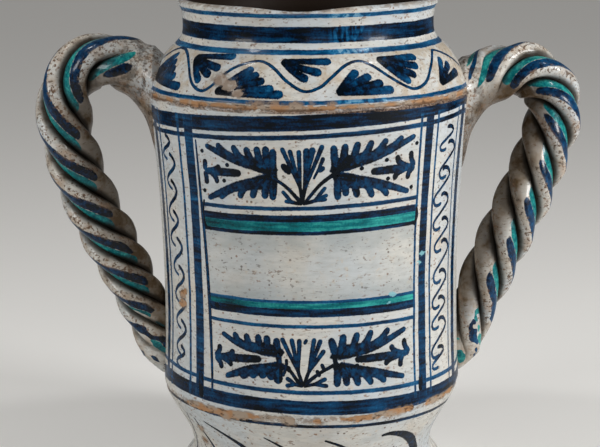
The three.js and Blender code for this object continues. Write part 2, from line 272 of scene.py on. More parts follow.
class Graph:
    """The shader of one finish, built node by node."""

    def __init__(self, name: str) -> None:
        """Makes an empty material of the given name, and finds the object coordinates, in metres."""
        self.material = bpy.data.materials.new(name)
        self.material.use_nodes = True
        self.tree = self.material.node_tree
        self.tree.nodes.clear()
        self.place = self.value("TexCoord", output="Object")

    def add(self, kind: str, settings: dict[str, Any] | None = None,
            sockets: dict[Any, Any] | None = None) -> bpy.types.Node:
        """Adds a node.

        Args:
            kind: the node's type, without its usual prefix.
            settings: what is set on the node itself.
            sockets: values or links for its inputs, by name or number.

        Returns:
            The node.
        """
        node = self.tree.nodes.new("ShaderNode" + kind)
        for name, value in (settings or {}).items():
            setattr(node, name, value)
        for name, value in (sockets or {}).items():
            if isinstance(value, Value):
                self.tree.links.new(value.socket, node.inputs[name])
            else:
                node.inputs[name].default_value = value
        return node

    def value(self, kind: str, settings: dict[str, Any] | None = None,
              sockets: dict[Any, Any] | None = None, output: int | str = 0) -> Value:
        """Adds a node, as add does, and gives one of its outputs."""
        return Value(self, self.add(kind, settings, sockets).outputs[output])

    def math(self, operation: str, *operands: Operand) -> Value:
        """Adds a Math node with its values or links in order."""
        return self.value("Math", {"operation": operation}, dict(enumerate(operands)))

    def split(self, vector: Value) -> list[Value]:
        """Gives the three parts of a vector."""
        return [Value(self, part) for part in self.add("SeparateXYZ", None, {0: vector}).outputs]

    def attribute(self, name: str) -> Value:
        """Reads a number kept on the mesh under a name."""
        return self.value("Attribute", {"attribute_name": name}, output="Fac")

    def mix(self, share: Operand, first: Value | str, second: Value | str) -> Value:
        """Mixes two colours, each a value or the name of a tone.

        Args:
            share: how much of the second colour shows.
            first: the colour at a share of 0.
            second: the colour at a share of 1.

        Returns:
            The mixed colour.
        """
        first, second = (TONES[c] if isinstance(c, str) else c for c in (first, second))
        return self.value("Mix", {"data_type": "RGBA"}, {0: share, 6: first, 7: second}, 2)

    def ramp(self, load: Value, stops: tuple[tuple[float, str], ...]) -> Value:
        """Gives a painter's colour for how much of it the brush left.

        Args:
            load: from 0, a thin wash, to 1, a thick pool.
            stops: the tones along the way and their places.

        Returns:
            The colour.
        """
        node = self.add("ValToRGB", None, {0: load})
        elements = node.color_ramp.elements
        while len(elements) < len(stops):
            elements.new(1.0)
        for element, (place, name) in zip(elements, stops):
            element.position = place
            element.color = TONES[name]
        return Value(self, node.outputs[0])

    def noise(self, name: str) -> Value:
        """Gives a cloud as it comes, from 0 to 1.

        Args:
            name: the cloud's name.

        Returns:
            The noise.
        """
        cloud = CLOUDS[name]
        sockets = {0: self.place, 1: (cloud.level, cloud.level, cloud.upright),
                   2: (cloud.seed, 2 * cloud.seed, -cloud.seed)}
        moved = self.value("VectorMath", {"operation": "MULTIPLY_ADD"}, sockets)
        return self.value("TexNoise", None, {"Vector": moved, "Scale": 1 / (cloud.size * MM),
                                             "Detail": cloud.layers, "Roughness": cloud.rough})

    def cloud(self, name: str) -> Value:
        """Gives the mask of a cloud: 0 below its low value and its share above its high one."""
        return self.noise(name).step(CLOUDS[name].low, CLOUDS[name].high) * CLOUDS[name].share

    def sway(self, name: str) -> Value:
        """Gives a cloud as a swing to both sides of nought, as wide as its share."""
        return (self.noise(name) - 0.5) * CLOUDS[name].share

    def cells(self, size: float, feature: str = "F1") -> Value:
        """Gives the distance to scattered points or to their cells' edges, as a share of their spacing."""
        sockets = {"Vector": self.place, "Scale": 1 / (size * MM)}
        return self.value("TexVoronoi", {"feature": feature}, sockets, "Distance")

    def finish(self, colour: Value, roughness: Operand, relief: Value, depth: float,
               sockets: dict[str, Any]) -> bpy.types.Material:
        """Ends the shader in a Principled surface.

        Args:
            colour: the base colour.
            roughness: the roughness.
            relief: the height of the surface, from 0 to 1.
            depth: the height of 1, in millimetres.
            sockets: further sockets of the surface.

        Returns:
            The finished material.
        """
        normal = self.value("Bump", None, {"Height": relief, "Strength": 1.0, "Distance": depth * MM})
        surface = {"Base Color": colour, "Roughness": roughness, "Normal": normal, **sockets}
        shader = self.add("BsdfPrincipled", None, surface)
        self.tree.links.new(shader.outputs[0], self.add("OutputMaterial").inputs[0])
        return self.material


class Ceramic(Graph):
    """The shader of fired clay under an opaque cream glaze, with the wear and dirt that age gives it."""

    coat: float = 0.1
    coat_roughness: float = 0.05
    gloss: float = 0.1
    polish: float = 0.2
    # How deep the relief is, how much rougher bare clay is, and how far it lies below the glaze
    bump: float = 0.25
    worn_roughness: float = 0.45
    worn_depth: float = 0.8
    crack_spacing: float = 5.5
    crack_width: float = 0.03
    speck_spacing: float = 4.2
    # Where a mask starts and where it is full
    speck_edge: Point2 = (0.2, 0.12)
    chip_edge: Point2 = (0.42, 0.5)
    chip_rim: Point2 = (0.2, 0.4)
    patch_edge: Point2 = (0.4, -0.4)
    patch_rim: Point2 = (3.4, 0.2)
    ripple_share: float = 0.8
    # Where the glaze is worn through: degrees round the jar, height and radius
    worn_patches: tuple[Triple, ...] = (
        (-33.6, 238.6, 4.2), (-29.4, 235.8, 4.4), (-25.5, 232.4, 3.0),
        (-18.0, 226.4, 3.6), (-11.5, 226.8, 3.2), (-5.0, 227.0, 2.6), (0.5, 225.6, 2.4), (7.0, 225.8, 2.4),
        (-57.0, 117.0, 3.6), (-57.8, 111.0, 3.8), (-34.5, 54.0, 3.2), (-29.0, 53.6, 2.6), (-8.5, 54.6, 2.6),
        (1.5, 54.8, 2.2), (17.5, 54.6, 2.4), (29.5, 55.0, 2.8), (34.0, 55.6, 3.0), (-55.0, 38.0, 2.6),
        (-57.6, 29.2, 3.2),
    )
    # How many millimetres a degree counts as, how much lower than wide a patch is, and a distance beyond all
    degree: float = 1.5
    flatten: float = 1.5
    far: float = 99.0

    def glaze(self) -> Value:
        """Gives the glaze with its clouds, scratches, hair cracks, stains and specks.

        Returns:
            The colour.
        """
        colour = self.mix(self.cloud("warm"), self.mix(self.cloud("cool"), "cream", "cool"), "warm")
        colour = self.mix(self.cloud("mottle"), colour, "shade")
        colour = self.mix(self.cloud("scratch_field") * self.cloud("scratches"), colour, "crack")
        cracks = self.cells(self.crack_spacing, "DISTANCE_TO_EDGE").step(self.crack_width, 0.0)
        colour = self.mix(cracks * self.cloud("crack_field"), colour, "crack")
        colour = self.mix(self.cloud("stains"), colour, "warm")
        specks = self.cells(self.speck_spacing).step(*self.speck_edge) | self.cloud("dashes")
        rust = self.mix(self.cloud("rust"), "speck", "rust")
        return self.mix(specks * self.cloud("speck_field"), colour, rust)

    def relief(self) -> Value:
        """Gives the height of the glaze's ripples and grit, from 0 to 1."""
        return self.noise("ripples") * self.ripple_share + self.noise("grit") * (1 - self.ripple_share)

    def dullness(self) -> Value:
        """Gives the glaze's roughness."""
        return self.noise("dullness") * CLOUDS["dullness"].share + self.polish

    def sockets(self) -> dict[str, Any]:
        """Gives the gloss that is the same all over the glaze."""
        return {"Coat Weight": self.coat, "Coat Roughness": self.coat_roughness,
                "Specular IOR Level": self.gloss, "IOR": 1.5}

    def clay(self) -> Value:
        """Gives bare clay, pale at the slip and brown in its pits."""
        body = self.mix(self.cloud("slip"), "pale_clay", "tan_clay")
        return self.mix(self.cloud("clay_pits"), body, "pit")

    def wear(self) -> tuple[Value, Value]:
        """Gives where the clay shows and the stained rim round it.

        Returns:
            The mask of the clay and the mask of the rim.
        """
        chips = self.attribute("chip") + self.sway("chip_edges") + self.sway("chip_runs")
        bare = self.outside(self.worn_patches)
        worn = chips.step(*self.chip_edge) | bare.step(*self.patch_edge)
        stained = chips.step(*self.chip_rim) | bare.step(*self.patch_rim)
        return worn, stained & self.cloud("chip_stain")

    def outside(self, patches: tuple[Triple, ...]) -> Value:
        """Gives how far each place lies outside the nearest of some ragged patches.

        Args:
            patches: the angle, height and radius of each.

        Returns:
            The distance in millimetres, below 0 inside.
        """
        x, y, z = self.split(self.place)
        angle = self.math("ARCTAN2", x, y * -1) * (180 / math.pi * self.degree)
        upright = z * 1000 * self.flatten
        flat = self.value("CombineXYZ", None, {0: angle, 1: upright})
        nearest: Operand = self.far
        for around, height, size in patches:
            sockets = {0: flat, 1: (around * self.degree, height * self.flatten, 0.0)}
            away = self.value("VectorMath", {"operation": "DISTANCE"}, sockets, "Value")
            nearest = self.math("MINIMUM", away - size, nearest)
        return nearest + self.sway("ragged")


def blank(name: str, columns: int, rows: int) -> bpy.types.Object:
    """Adds a unit grid at the origin, to be wrapped into a surface.

    Args:
        name: the object's name.
        columns: faces across.
        rows: faces along.

    Returns:
        The grid, the only thing selected.
    """
    bpy.ops.mesh.primitive_grid_add(x_subdivisions=columns, y_subdivisions=rows, size=1, calc_uvs=True)
    obj = bpy.context.object
    obj.name = obj.data.name = name
    return obj


def points_of(mesh: bpy.types.Mesh) -> np.ndarray:
    """Reads a mesh's points as an array of one row each."""
    flat = np.empty(3 * len(mesh.vertices), np.float64)
    mesh.vertices.foreach_get("co", flat)
    return flat.reshape(-1, 3)


def move_points(mesh: bpy.types.Mesh, points: np.ndarray) -> None:
    """Puts a mesh's points where an array says."""
    mesh.vertices.foreach_set("co", points.astype(np.float32).ravel())
    mesh.update()


def keep_number(mesh: bpy.types.Mesh, name: str, values: np.ndarray) -> None:
    """Keeps a number for each point of a mesh under a name."""
    mesh.attributes.new(name, "FLOAT", "POINT").data.foreach_set("value", values.astype(np.float32).ravel())


def choose(*objects: bpy.types.Object) -> None:
    """Selects objects and nothing else, the first of them as the active one."""
    bpy.ops.object.select_all(action="DESELECT")
    for obj in objects:
        obj.select_set(True)
    bpy.context.view_layer.objects.active = objects[0]


def close_and_smooth(obj: bpy.types.Object, fill: bool) -> None:
    """Merges doubled points, fills open ends, turns the faces outwards and shades them smooth.

    Args:
        obj: the piece.
        fill: whether open ends are filled.
    """
    choose(obj)
    bpy.ops.object.mode_set(mode="EDIT")
    bpy.ops.mesh.select_all(action="SELECT")
    bpy.ops.mesh.remove_doubles(threshold=MERGE)
    if fill:
        bpy.ops.mesh.fill_holes(sides=0)
    bpy.ops.mesh.select_all(action="SELECT")
    bpy.ops.mesh.normals_make_consistent(inside=False)
    bpy.ops.object.mode_set(mode="OBJECT")
    bpy.ops.object.shade_smooth_by_angle(angle=math.radians(SHARP))


class Unevenness:
    """How far hand work leaves a surface from its true form."""

    STRIDES = np.array([73856093, 19349663, 83492791])
    FACTOR = 1274126177
    LARGEST = 0x7FFFFFFF
    SHORT = 0xFFFF
    SEED_STRIDE = 7.3

    @classmethod
    def _knots(cls, cells: np.ndarray) -> np.ndarray:
        """Gives a repeatable number from -1 to 1 for each whole-numbered place."""
        mixed = (cells.astype(np.int64) * cls.STRIDES).sum(-1) & cls.LARGEST
        mixed = ((mixed ^ (mixed >> 13)) * cls.FACTOR) & cls.LARGEST
        return ((mixed ^ (mixed >> 16)) & cls.SHORT) / (cls.SHORT / 2) - 1

    @classmethod
    def at(cls, places: np.ndarray, size: float, seed: float) -> np.ndarray:
        """Gives smooth noise from -1 to 1 at each of many places.

        Args:
            places: the places in millimetres, one to a row.
            size: the size of its swells, in millimetres.
            seed: moves the pattern so that two uses differ.

        Returns:
            The noise.
        """
        spots = places / size + np.array([seed, -seed, 2 * seed]) * cls.SEED_STRIDE
        base = np.floor(spots)
        share = smooth_step(spots - base)
        total = np.zeros(places.shape[:-1])
        for corner in itertools.product((0, 1), repeat=3):
            weight = np.prod(np.where(corner, share, 1 - share), -1)
            total += weight * cls._knots(base + np.array(corner))
        return total


@dataclass
class Outline:
    """The jar's profile, read from its solid: distance from the axis and height, from foot to floor."""

    near: float = 0.01
    corner: float = 14.0
    jump: float = 5.0
    stride: float = 0.5
    blur: float = 0.8
    flat_foot: float = 0.9
    foot_lift: float = 10.0
    points: np.ndarray = field(default_factory=lambda: np.zeros((0, 2)))

    def read(self, vessel: bpy.types.Object) -> None:
        """Walks the edges of the solid that lie in the plane of X and Z and rounds them into one curve.

        Args:
            vessel: the jar's solid node.
        """
        points = points_of(vessel.data) / MM
        keys = [(round(x, 2), round(z, 2)) if abs(y) < self.near and x > -self.near else None
                for x, y, z in points]
        links: dict[Point2, set[Point2]] = {}
        for edge in vessel.data.edges:
            a, b = (keys[i] for i in edge.vertices)
            if a and b and a != b:
                links.setdefault(a, set()).add(b)
                links.setdefault(b, set()).add(a)
        start = min((k for k in links if k[0] < self.near), key=lambda k: k[1])
        walk = [start]
        while True:
            ahead = [k for k in links[walk[-1]] if k not in walk]
            if not ahead:
                break
            walk.append(ahead[0])
        self.points = self._soften(self._curve(np.array(walk)))

    def _curve(self, corners: np.ndarray) -> np.ndarray:
        """Draws a curve through the points that turns sharply only where the profile does.

        Args:
            corners: the profile's points.

        Returns:
            Close points along the curve.
        """
        steps = np.diff(corners, axis=0)
        lengths = np.hypot(*steps.T)
        ways = steps / lengths[:, None]
        drawn = [corners[:1]]
        for i, (start, end) in enumerate(zip(corners[:-1], corners[1:])):
            leave = self._way(ways, lengths, i - 1, i, i)
            arrive = self._way(ways, lengths, i, i + 1, i)
            count = max(1, round(lengths[i] / self.stride))
            t = (np.arange(1, count + 1) / count)[:, None]
            drawn.append((2 * t**3 - 3 * t**2 + 1) * start + (3 * t**2 - 2 * t**3) * end
                         + (t**3 - 2 * t**2 + t) * leave * lengths[i] + (t**3 - t**2) * arrive * lengths[i])
        return np.concatenate(drawn)

    def _way(self, ways: np.ndarray, lengths: np.ndarray, before: int, after: int, own: int) -> np.ndarray:
        """Gives the curve's direction at a point: shared by both sides, or one side's own at a corner.

        Args:
            ways: the direction of each straight stretch.
            lengths: the length of each stretch.
            before: the stretch before the point.
            after: the stretch after it.
            own: the stretch that the direction is for.

        Returns:
            The direction.
        """
        if before < 0 or after >= len(ways):
            return ways[own]
        turn = math.degrees(math.acos(max(-1.0, min(1.0, float(ways[before] @ ways[after])))))
        ratio = max(lengths[before], lengths[after]) / min(lengths[before], lengths[after])
        if turn > self.corner or ratio > self.jump:
            return ways[own]
        shared = ways[before] * lengths[after] + ways[after] * lengths[before]
        return shared / np.hypot(*shared)

    def _soften(self, points: np.ndarray) -> np.ndarray:
        """Rounds the corners as glaze does, and leaves both ends on the axis."""
        reach = int(4 * self.blur / self.stride)
        weights = np.exp(-0.5 * (np.arange(-reach, reach + 1) * self.stride / self.blur) ** 2)
        weights /= weights.sum()
        held = np.pad(points, ((reach, reach), (0, 0)), mode="edge")
        soft = np.stack([np.convolve(held[:, i], weights, "valid") for i in (0, 1)], 1)
        soft[0], soft[-1] = points[0], points[-1]
        return soft

    @property
    def rim(self) -> int:
        """The place in the profile of its highest point."""
        return int(np.argmax(self.points[:, 1]))

    def radius(self, height: np.ndarray | float) -> np.ndarray:
        """Gives the outside radius at a height."""
        outer = self.points[:self.rim + 1]
        under = outer[:, 0] < self.flat_foot * outer[:, 0].max()
        start = int(np.argmin(outer[:, 1] + np.where(under, self.foot_lift, 0)))
        return np.interp(height, outer[start:, 1], outer[start:, 0])

    def slope(self, height: np.ndarray | float) -> np.ndarray:
        """Gives how fast the outside widens with height."""
        return self.radius(np.add(height, 0.5)) - self.radius(np.subtract(height, 0.5))


@dataclass
class JarBody:
    """The thrown vessel: foot, waist, hollow-sided wall, shoulder, neck and lip."""

    outline: Outline
    segments: int = 300
    outer_step: float = 1.2
    inner_step: float = 6.0
    foot_radius: float = 50.0
    # How far before the foot's lowest point the wide steps end and the close ones start
    foot_gap: Point2 = (3.0, 2.0)
    lip_inside: float = 8.0
    uneven: float = 0.22
    swell_size: float = 38.0
    rim_dip: float = 2.2
    rim_dip_angle: float = -4.0
    rim_dip_spread: float = 17.0
    rim_depth: float = 9.0
    rim_wave: float = 0.35
    rim_wave_size: float = 30.0
    chip_depth: float = 0.7
    chip_from: float = 0.35
    chip_over: float = 0.3
    # The heights that are chipped and how far chips spread there, then the size and strength of two swells
    chipped: tuple[Point2, ...] = ((UPPER_ANGLE - 0.2, 2.3), (LOWER_ANGLE - 1.0, 2.8))
    chip_share: float = 0.64
    coarse: Point2 = (7, 0.35)
    fine: Point2 = (2.6, 0.25)
    # What counts as the outside, the foot's underside, the core, the lip and the inside
    skin: float = 0.4
    underside: float = 1.0
    core: float = 20.0
    lip_height: float = 2.4
    lip_fade: float = 1.8
    wall: float = 1.5
    floor_top: float = 6.0

    def build(self) -> bpy.types.Object:
        """Spins the profile into a shell and works its surface by hand.

        Returns:
            The jar's body.
        """
        obj = self._spin(self._stations())
        self._work(obj)
        close_and_smooth(obj, False)
        return obj

    def _stations(self) -> np.ndarray:
        """Picks the profile's points: close together outside and wide apart inside."""
        points = self.outline.points
        way = np.concatenate([[0], np.cumsum(np.hypot(*np.diff(points, axis=0).T))])
        beyond = np.where(points[:, 0] < self.foot_radius, np.inf, points[:, 1])
        foot = float(way[np.argmin(beyond)])
        inside = float(way[self.outline.rim]) + self.lip_inside
        last, first = foot - np.array(self.foot_gap)
        under = np.linspace(0, last, max(3, round(foot / self.inner_step)))
        outer = np.linspace(first, inside, round((inside - foot) / self.outer_step))
        inner = np.linspace(inside, way[-1], round((way[-1] - inside) / self.inner_step))[1:]
        stops = np.concatenate([under, outer, inner])
        return np.stack([np.interp(stops, way, points[:, i]) for i in (0, 1)], 1)

    def _spin(self, profile: np.ndarray) -> bpy.types.Object:
        """Extrudes one point along the profile and spins the line round the axis.

        Args:
            profile: the profile's points in millimetres.

        Returns:
            The spun shell.
        """
        bpy.ops.mesh.primitive_plane_add(size=MM)
        obj = bpy.context.object
        obj.name = obj.data.name = "jar_body"
        path = [Vector((r * MM, 0, z * MM)) for r, z in profile]
        bpy.ops.object.mode_set(mode="EDIT")
        bpy.ops.mesh.merge(type="CENTER")
        bpy.ops.transform.translate(value=path[0])
        for start, end in zip(path, path[1:]):
            bpy.ops.mesh.extrude_region_move(TRANSFORM_OT_translate={"value": end - start})
        bpy.ops.mesh.select_all(action="SELECT")
        bpy.ops.mesh.spin(steps=self.segments, angle=math.tau, center=(0, 0, 0), axis=(0, 0, 1))
        bpy.ops.object.mode_set(mode="OBJECT")
        return obj

    def _work(self, obj: bpy.types.Object) -> None:
        """Gives the surface its hand-thrown swells, its worn rim and its chipped angles."""
        mesh = obj.data
        points = points_of(mesh) / MM
        radius = np.hypot(points[:, 0], points[:, 1])
        outer = self.outline.radius(points[:, 2])
        above = points[:, 2] > self.underside
        chips = np.where((np.abs(radius - outer) < self.skin) & above, self.chip(points), 0.0)
        shift = np.where(above & (radius > self.core), self.swell(points), 0.0)
        shift -= self.chip_depth * smooth_step((chips - self.chip_from) / self.chip_over)
        lip_start = self.outline.points[:, 1].max() - self.lip_height
        lip = smooth_step((points[:, 2] - lip_start) / self.lip_fade)
        drop = self.rim_drop(points)
        points[:, :2] *= (1 + shift / np.maximum(radius, 1))[:, None]
        points[:, 2] += drop
        move_points(mesh, points * MM)
        keep_number(mesh, "chip", chips)
        keep_number(mesh, "lip", lip)
        keep_number(mesh, "inside", (radius < outer - self.wall) & (points[:, 2] > self.floor_top))

    def swell(self, places: np.ndarray) -> np.ndarray:
        """Gives how far the wall swells out at each place, both in millimetres."""
        return self.uneven * Unevenness.at(places, self.swell_size, 0.3)

    def rim_drop(self, places: np.ndarray) -> np.ndarray:
        """Gives how far the worn rim lies below its true height at each place, as a shift."""
        lip = self.outline.points[:, 1].max() - self.rim_depth
        share = smooth_step((places[:, 2] - lip) / self.rim_depth)
        angle = np.degrees(np.arctan2(places[:, 0], -places[:, 1]))
        dip = self.rim_dip * np.exp(-((angle - self.rim_dip_angle) / self.rim_dip_spread) ** 2)
        wave = self.rim_wave * (1 + Unevenness.at(places * (1, 1, 0), self.rim_wave_size, 1.7))
        return -share * (dip + wave)

    def chip(self, places: np.ndarray) -> np.ndarray:
        """Gives how chipped the surface is at each place, above about 0.5 where the glaze is gone."""
        long = places * (0.4, 0.4, 1.0)
        rough = Unevenness.at(long, self.coarse[0], 0.9) * self.coarse[1]
        rough += Unevenness.at(long, self.fine[0], 2.2) * self.fine[1]
        chipped = np.zeros(len(places))
        for height, reach in self.chipped:
            near = np.exp(-((places[:, 2] - height) / reach) ** 2)
            chipped = np.maximum(chipped, near * (self.chip_share + rough))
        return chipped

    def normal(self, angle: np.ndarray, height: np.ndarray) -> np.ndarray:
        """Gives the way out from the surface at angles and heights."""
        turn, slope = np.radians(angle), self.outline.slope(height)
        ways = np.stack([np.sin(turn), -np.cos(turn), -slope], -1)
        return ways / np.linalg.norm(ways, axis=-1, keepdims=True)

    def on_surface(self, angle: np.ndarray, height: np.ndarray, lift: float) -> np.ndarray:
        """Finds points on the worked surface.

        Args:
            angle: degrees round the jar from the middle of its front, to the right.
            height: heights in millimetres.
            lift: how far the points stand off the surface.

        Returns:
            The points in millimetres, one to a row.
        """
        turn, radius = np.radians(angle), self.outline.radius(height)
        places = np.stack([radius * np.sin(turn), -radius * np.cos(turn), height], -1)
        places[:, :2] *= (1 + self.swell(places) / radius)[:, None]
        return places + self.normal(angle, height) * lift


@dataclass(frozen=True)
class Band:
    """A painted band: its lower and upper edge, and how thick its colour is."""

    low: float
    high: float
    load: float = 0.7


class JarFinish(Ceramic):
    """The jar's own surface: glaze, painted bands and frame lines, worn places, and the brown inside."""

    neck_rings: tuple[Band, ...] = (
        Band(270.1, 272.5, 0.55), Band(257.0, 265.6, 0.92), Band(251.2, 253.8, 0.58),
        Band(227.2, 229.4, 0.62),
    )
    body_rings: tuple[Band, ...] = (
        Band(213.8, 222.4, 0.92), Band(209.1, 211.8, 0.85), Band(69.7, 72.1), Band(58.5, 66.4, 0.86),
        Band(50.4, 52.6, 0.95),
    )
    frame_bands: tuple[Band, ...] = (
        Band(171.0, 173.3, 0.78), Band(164.7, 168.6, 0.9), Band(157.6, 159.8, 1.0),
        Band(120.1, 121.8, 0.6), Band(112.5, 117.1, 0.88), Band(106.2, 108.3, 0.68),
    )
    green_bands: tuple[Band, ...] = (Band(158.5, 166.5, 0.42), Band(115.8, 120.8, 0.42))
    uprights: tuple[Band, ...] = (
        Band(-75.0, -70.9, 0.85), Band(-68.6, -67.1, 0.66), Band(-53.3, -51.9, 0.66),
        Band(-49.0, -44.5, 0.82), Band(41.0, 42.1), Band(43.8, 47.8, 0.86), Band(49.9, 51.0),
        Band(65.0, 66.0), Band(68.8, 73.2, 0.85),
    )
    splashes: tuple[Triple, ...] = (
        (30.8, 121.6, 2.4), (30.2, 117.8, 1.6), (45.4, 141, 2.4), (44.8, 136.6, 1.8),
    )
    upright_foot: float = 61.0
    upright_head: float = 219.0
    panel: Band = Band(121.7, 157.8)
    frame_left: float = -42.0
    frame_right: float = 41.5
    frame_lean: float = 0.02
    slant: float = 0.0007
    slant_end: Point2 = (68.0, 89.0)
    level: float = 125.0
    # How softly the painted edges fade
    ring_edge: float = 0.45
    upright_edge: float = 0.25
    green_edge: float = 0.6
    frame_edge: float = 0.3
    panel_edge: float = 1.5
    shoulder_width: float = 26.0
    # How far the panel's clear middle lies from its lower and upper edge, and how softly it fades
    panel_middle: Triple = (6, 8, 11)
    # The part of the neck's rings that is scraped: from, to, and how softly it fades
    scraped_part: Triple = (9, 27, 5)
    splash_edge: Point2 = (0.4, -0.6)
    splash_share: float = 0.85
    # The green is blotchier than the blue, and gets thinner towards the right
    green_blotches: float = 1.4
    green_thinning: float = 0.007
    ring_lift: float = -0.04
    green_lift: float = 0.1
    stain_share: float = 0.75
    upright_end: float = 0.6
    inside_edge: Point2 = (0.4, 0.6)
    inside_roughness: float = 0.3
    # How much of the wear the glaze above the upper angle escapes, and how clear the panel's middle is
    spared_share: float = 0.75
    clear_share: float = 0.7
    wash_least: float = 0.1
    # The crust under the upper angle: how far above it, and how softly it fades
    crust_edge: Point2 = (0.6, 0.5)
    streak_share: float = 0.8
    # The dark line on the clay under the upper angle: from, to, and how softly it fades
    under_line: Triple = (UPPER_ANGLE - 3.4, UPPER_ANGLE - 0.6, 1.4)

    def __init__(self) -> None:
        """Works out the jar's heights and angles, as unsteady as the hand that painted along them."""
        super().__init__("painted_tin_glaze")
        x, y, z = self.split(self.place)
        self.true_height = z * 1000
        tremble = self.sway("tremble")
        self.height = self.true_height + self.sway("wobble") + tremble
        side = self.math("ARCTAN2", x * self.math("SIGN", y) * -1, abs(y)) * (180 / math.pi)
        self.around = side + self.sway("drift") + tremble * 0.5
        drift = self.around * (1 - abs(self.around).step(*self.slant_end)) * self.slant
        self.slanted = self.height - drift * (self.height - self.level)
        leaning = self.around + (self.height - self.level) * self.frame_lean
        soft, left, right = self.frame_edge, self.frame_left, self.frame_right
        self.framed = leaning.step(left - soft, left + soft) & self.around.step(right + soft, right - soft)
        self.shoulder = self.true_height.window(UPPER_ANGLE, UPPER_ANGLE + self.shoulder_width, 3)
        self.past_angle = self.true_height.step(UPPER_ANGLE, UPPER_ANGLE + 4)

    def build(self) -> bpy.types.Material:
        """Builds the material.

        Returns:
            The material.
        """
        worn, rim = self.wear()
        hidden = self.attribute("inside").step(*self.inside_edge)
        surface = self._dirtied(self._painted(self._ground()), rim)
        spared = self.past_angle * self.cloud("blots") * self.spared_share
        surface = self.mix(worn * (1 - spared), surface, self._bare())
        surface = self.mix(hidden, surface, "inside")
        sockets = {**self.sockets(), "Coat Weight": (1 - (hidden | worn)) * self.coat}
        roughness = self.dullness() + worn * self.worn_roughness + hidden * self.inside_roughness
        return self.finish(surface, roughness, self.relief() - worn * self.worn_depth, self.bump, sockets)

    def _ground(self) -> Value:
        """Gives the glaze with the washed panel and the tinted, grubby shoulder.

        Returns:
            The colour.
        """
        panel = self.slanted.window(self.panel.low, self.panel.high, self.panel_edge) & self.framed
        below, above, soft = self.panel_middle
        middle = self.slanted.window(self.panel.low + below, self.panel.high - above, soft)
        clear = 1 - middle * self.clear_share
        wash = panel * clear * (self.noise("blots") * (1 - self.wash_least) + self.wash_least)
        surface = self.mix(wash, self.glaze(), "panel_wash")
        surface = self.mix(self.cloud("tinted") & self.shoulder, surface, "shoulder_tint")
        return self.mix(self.cloud("grubby") & self.shoulder, surface, "worn_clay")

    def _painted(self, surface: Value) -> Value:
        """Paints the green bands, the rings, the frame lines and the uprights.

        Args:
            surface: the colour below them.

        Returns:
            The colour.
        """
        uneven = self.sway("streaks") + self.sway("blots") + self.sway("grain") + self.ring_lift
        green, load = self._bands(self.slanted, self.green_bands, self.green_edge)
        load = load + uneven * self.green_blotches + self.green_lift - self.around * self.green_thinning
        surface = self.mix(green & self.framed, surface, self.ramp(load, COPPER))
        scraped = self.around.window(*self.scraped_part) & self.cloud("scraped")
        upright = self.height.window(self.upright_foot, self.upright_head, self.upright_end)
        for (mask, load), share, less in (
                (self._bands(self.height, self.neck_rings, self.ring_edge), 1.0, scraped),
                (self._bands(self.slanted, self.body_rings, self.ring_edge), 1.0, 0.0),
                (self._bands(self.slanted, self.frame_bands, self.ring_edge), self.framed, 0.0),
                (self._bands(self.around, self.uprights, self.upright_edge), upright, 0.0)):
            surface = self.mix(mask & share, surface, self.ramp(load + uneven - less, COBALT))
        splashed = self.outside(self.splashes).step(*self.splash_edge) * self.splash_share
        return self.mix(splashed, surface, "splash")

    def _dirtied(self, surface: Value, rim: Value) -> Value:
        """Adds the stains round the chips and the lip, and the crust under the upper angle.

        Args:
            surface: the colour below them.
            rim: the mask of the stained rim round the chips.

        Returns:
            The colour.
        """
        stain = self.mix(self.noise("blots"), "pit", "pale_clay")
        lip = self.attribute("lip") & self.cloud("lip_wear")
        surface = self.mix((rim | lip) * self.stain_share, surface, stain)
        above, soft = self.crust_edge
        brim = self.true_height.window(self.body_rings[0].high, UPPER_ANGLE + above, soft)
        grain = CLOUDS["grain"]
        crumbs = self.mix(self.noise("grain").step(grain.low, grain.high), "pit", "worn_clay")
        return self.mix(brim & self.cloud("crust"), surface, crumbs)

    def _bare(self) -> Value:
        """Gives the worn clay, pale on the shoulder and dark under the upper angle.

        Returns:
            The colour.
        """
        clay = self.mix(self.past_angle, self.clay(), "worn_clay")
        under = self.true_height.window(*self.under_line)
        streaks = CLOUDS["streaks"]
        dark = self.noise("streaks").step(streaks.low, streaks.high)
        return self.mix(under * dark * self.streak_share, clay, "pit")

    @staticmethod
    def _bands(value: Value, bands: tuple[Band, ...], soft: float) -> tuple[Value, Value]:
        """Gives the mask of several bands, and how thick their colour is.

        Args:
            value: what the bands' edges are measured in.
            bands: the bands.
            soft: the width over which an edge fades.

        Returns:
            The mask and the load.
        """
        masks = [value.window(band.low, band.high, soft) for band in bands]
        loads = [mask * band.load for mask, band in zip(masks, bands)]
        painted, load = masks[0], loads[0]
        for mask, part in zip(masks[1:], loads[1:]):
            painted, load = painted | mask, load | part
        return painted, load


@dataclass(frozen=True)
class Stroke:
    """One stroke of the brush.

    Its path is in degrees round the jar from the middle of the front and in millimetres of height, its
    widths are those at the start, middle and end, and its loads are how thick the colour starts and ends.
    """

    path: tuple[Point2, ...]
    widths: Triple
    loads: Point2 = (0.6, 0.6)

    def strokes(self) -> list["Stroke"]:
        """Gives itself alone, since every shape of the painting gives its strokes."""
        return [self]


def between(start: Point2, end: Point2, across: float, up: float) -> Point2:
    """Gives a point that has gone a share of the way from one to another, across and up."""
    return start[0] + across * (end[0] - start[0]), start[1] + up * (end[1] - start[1])


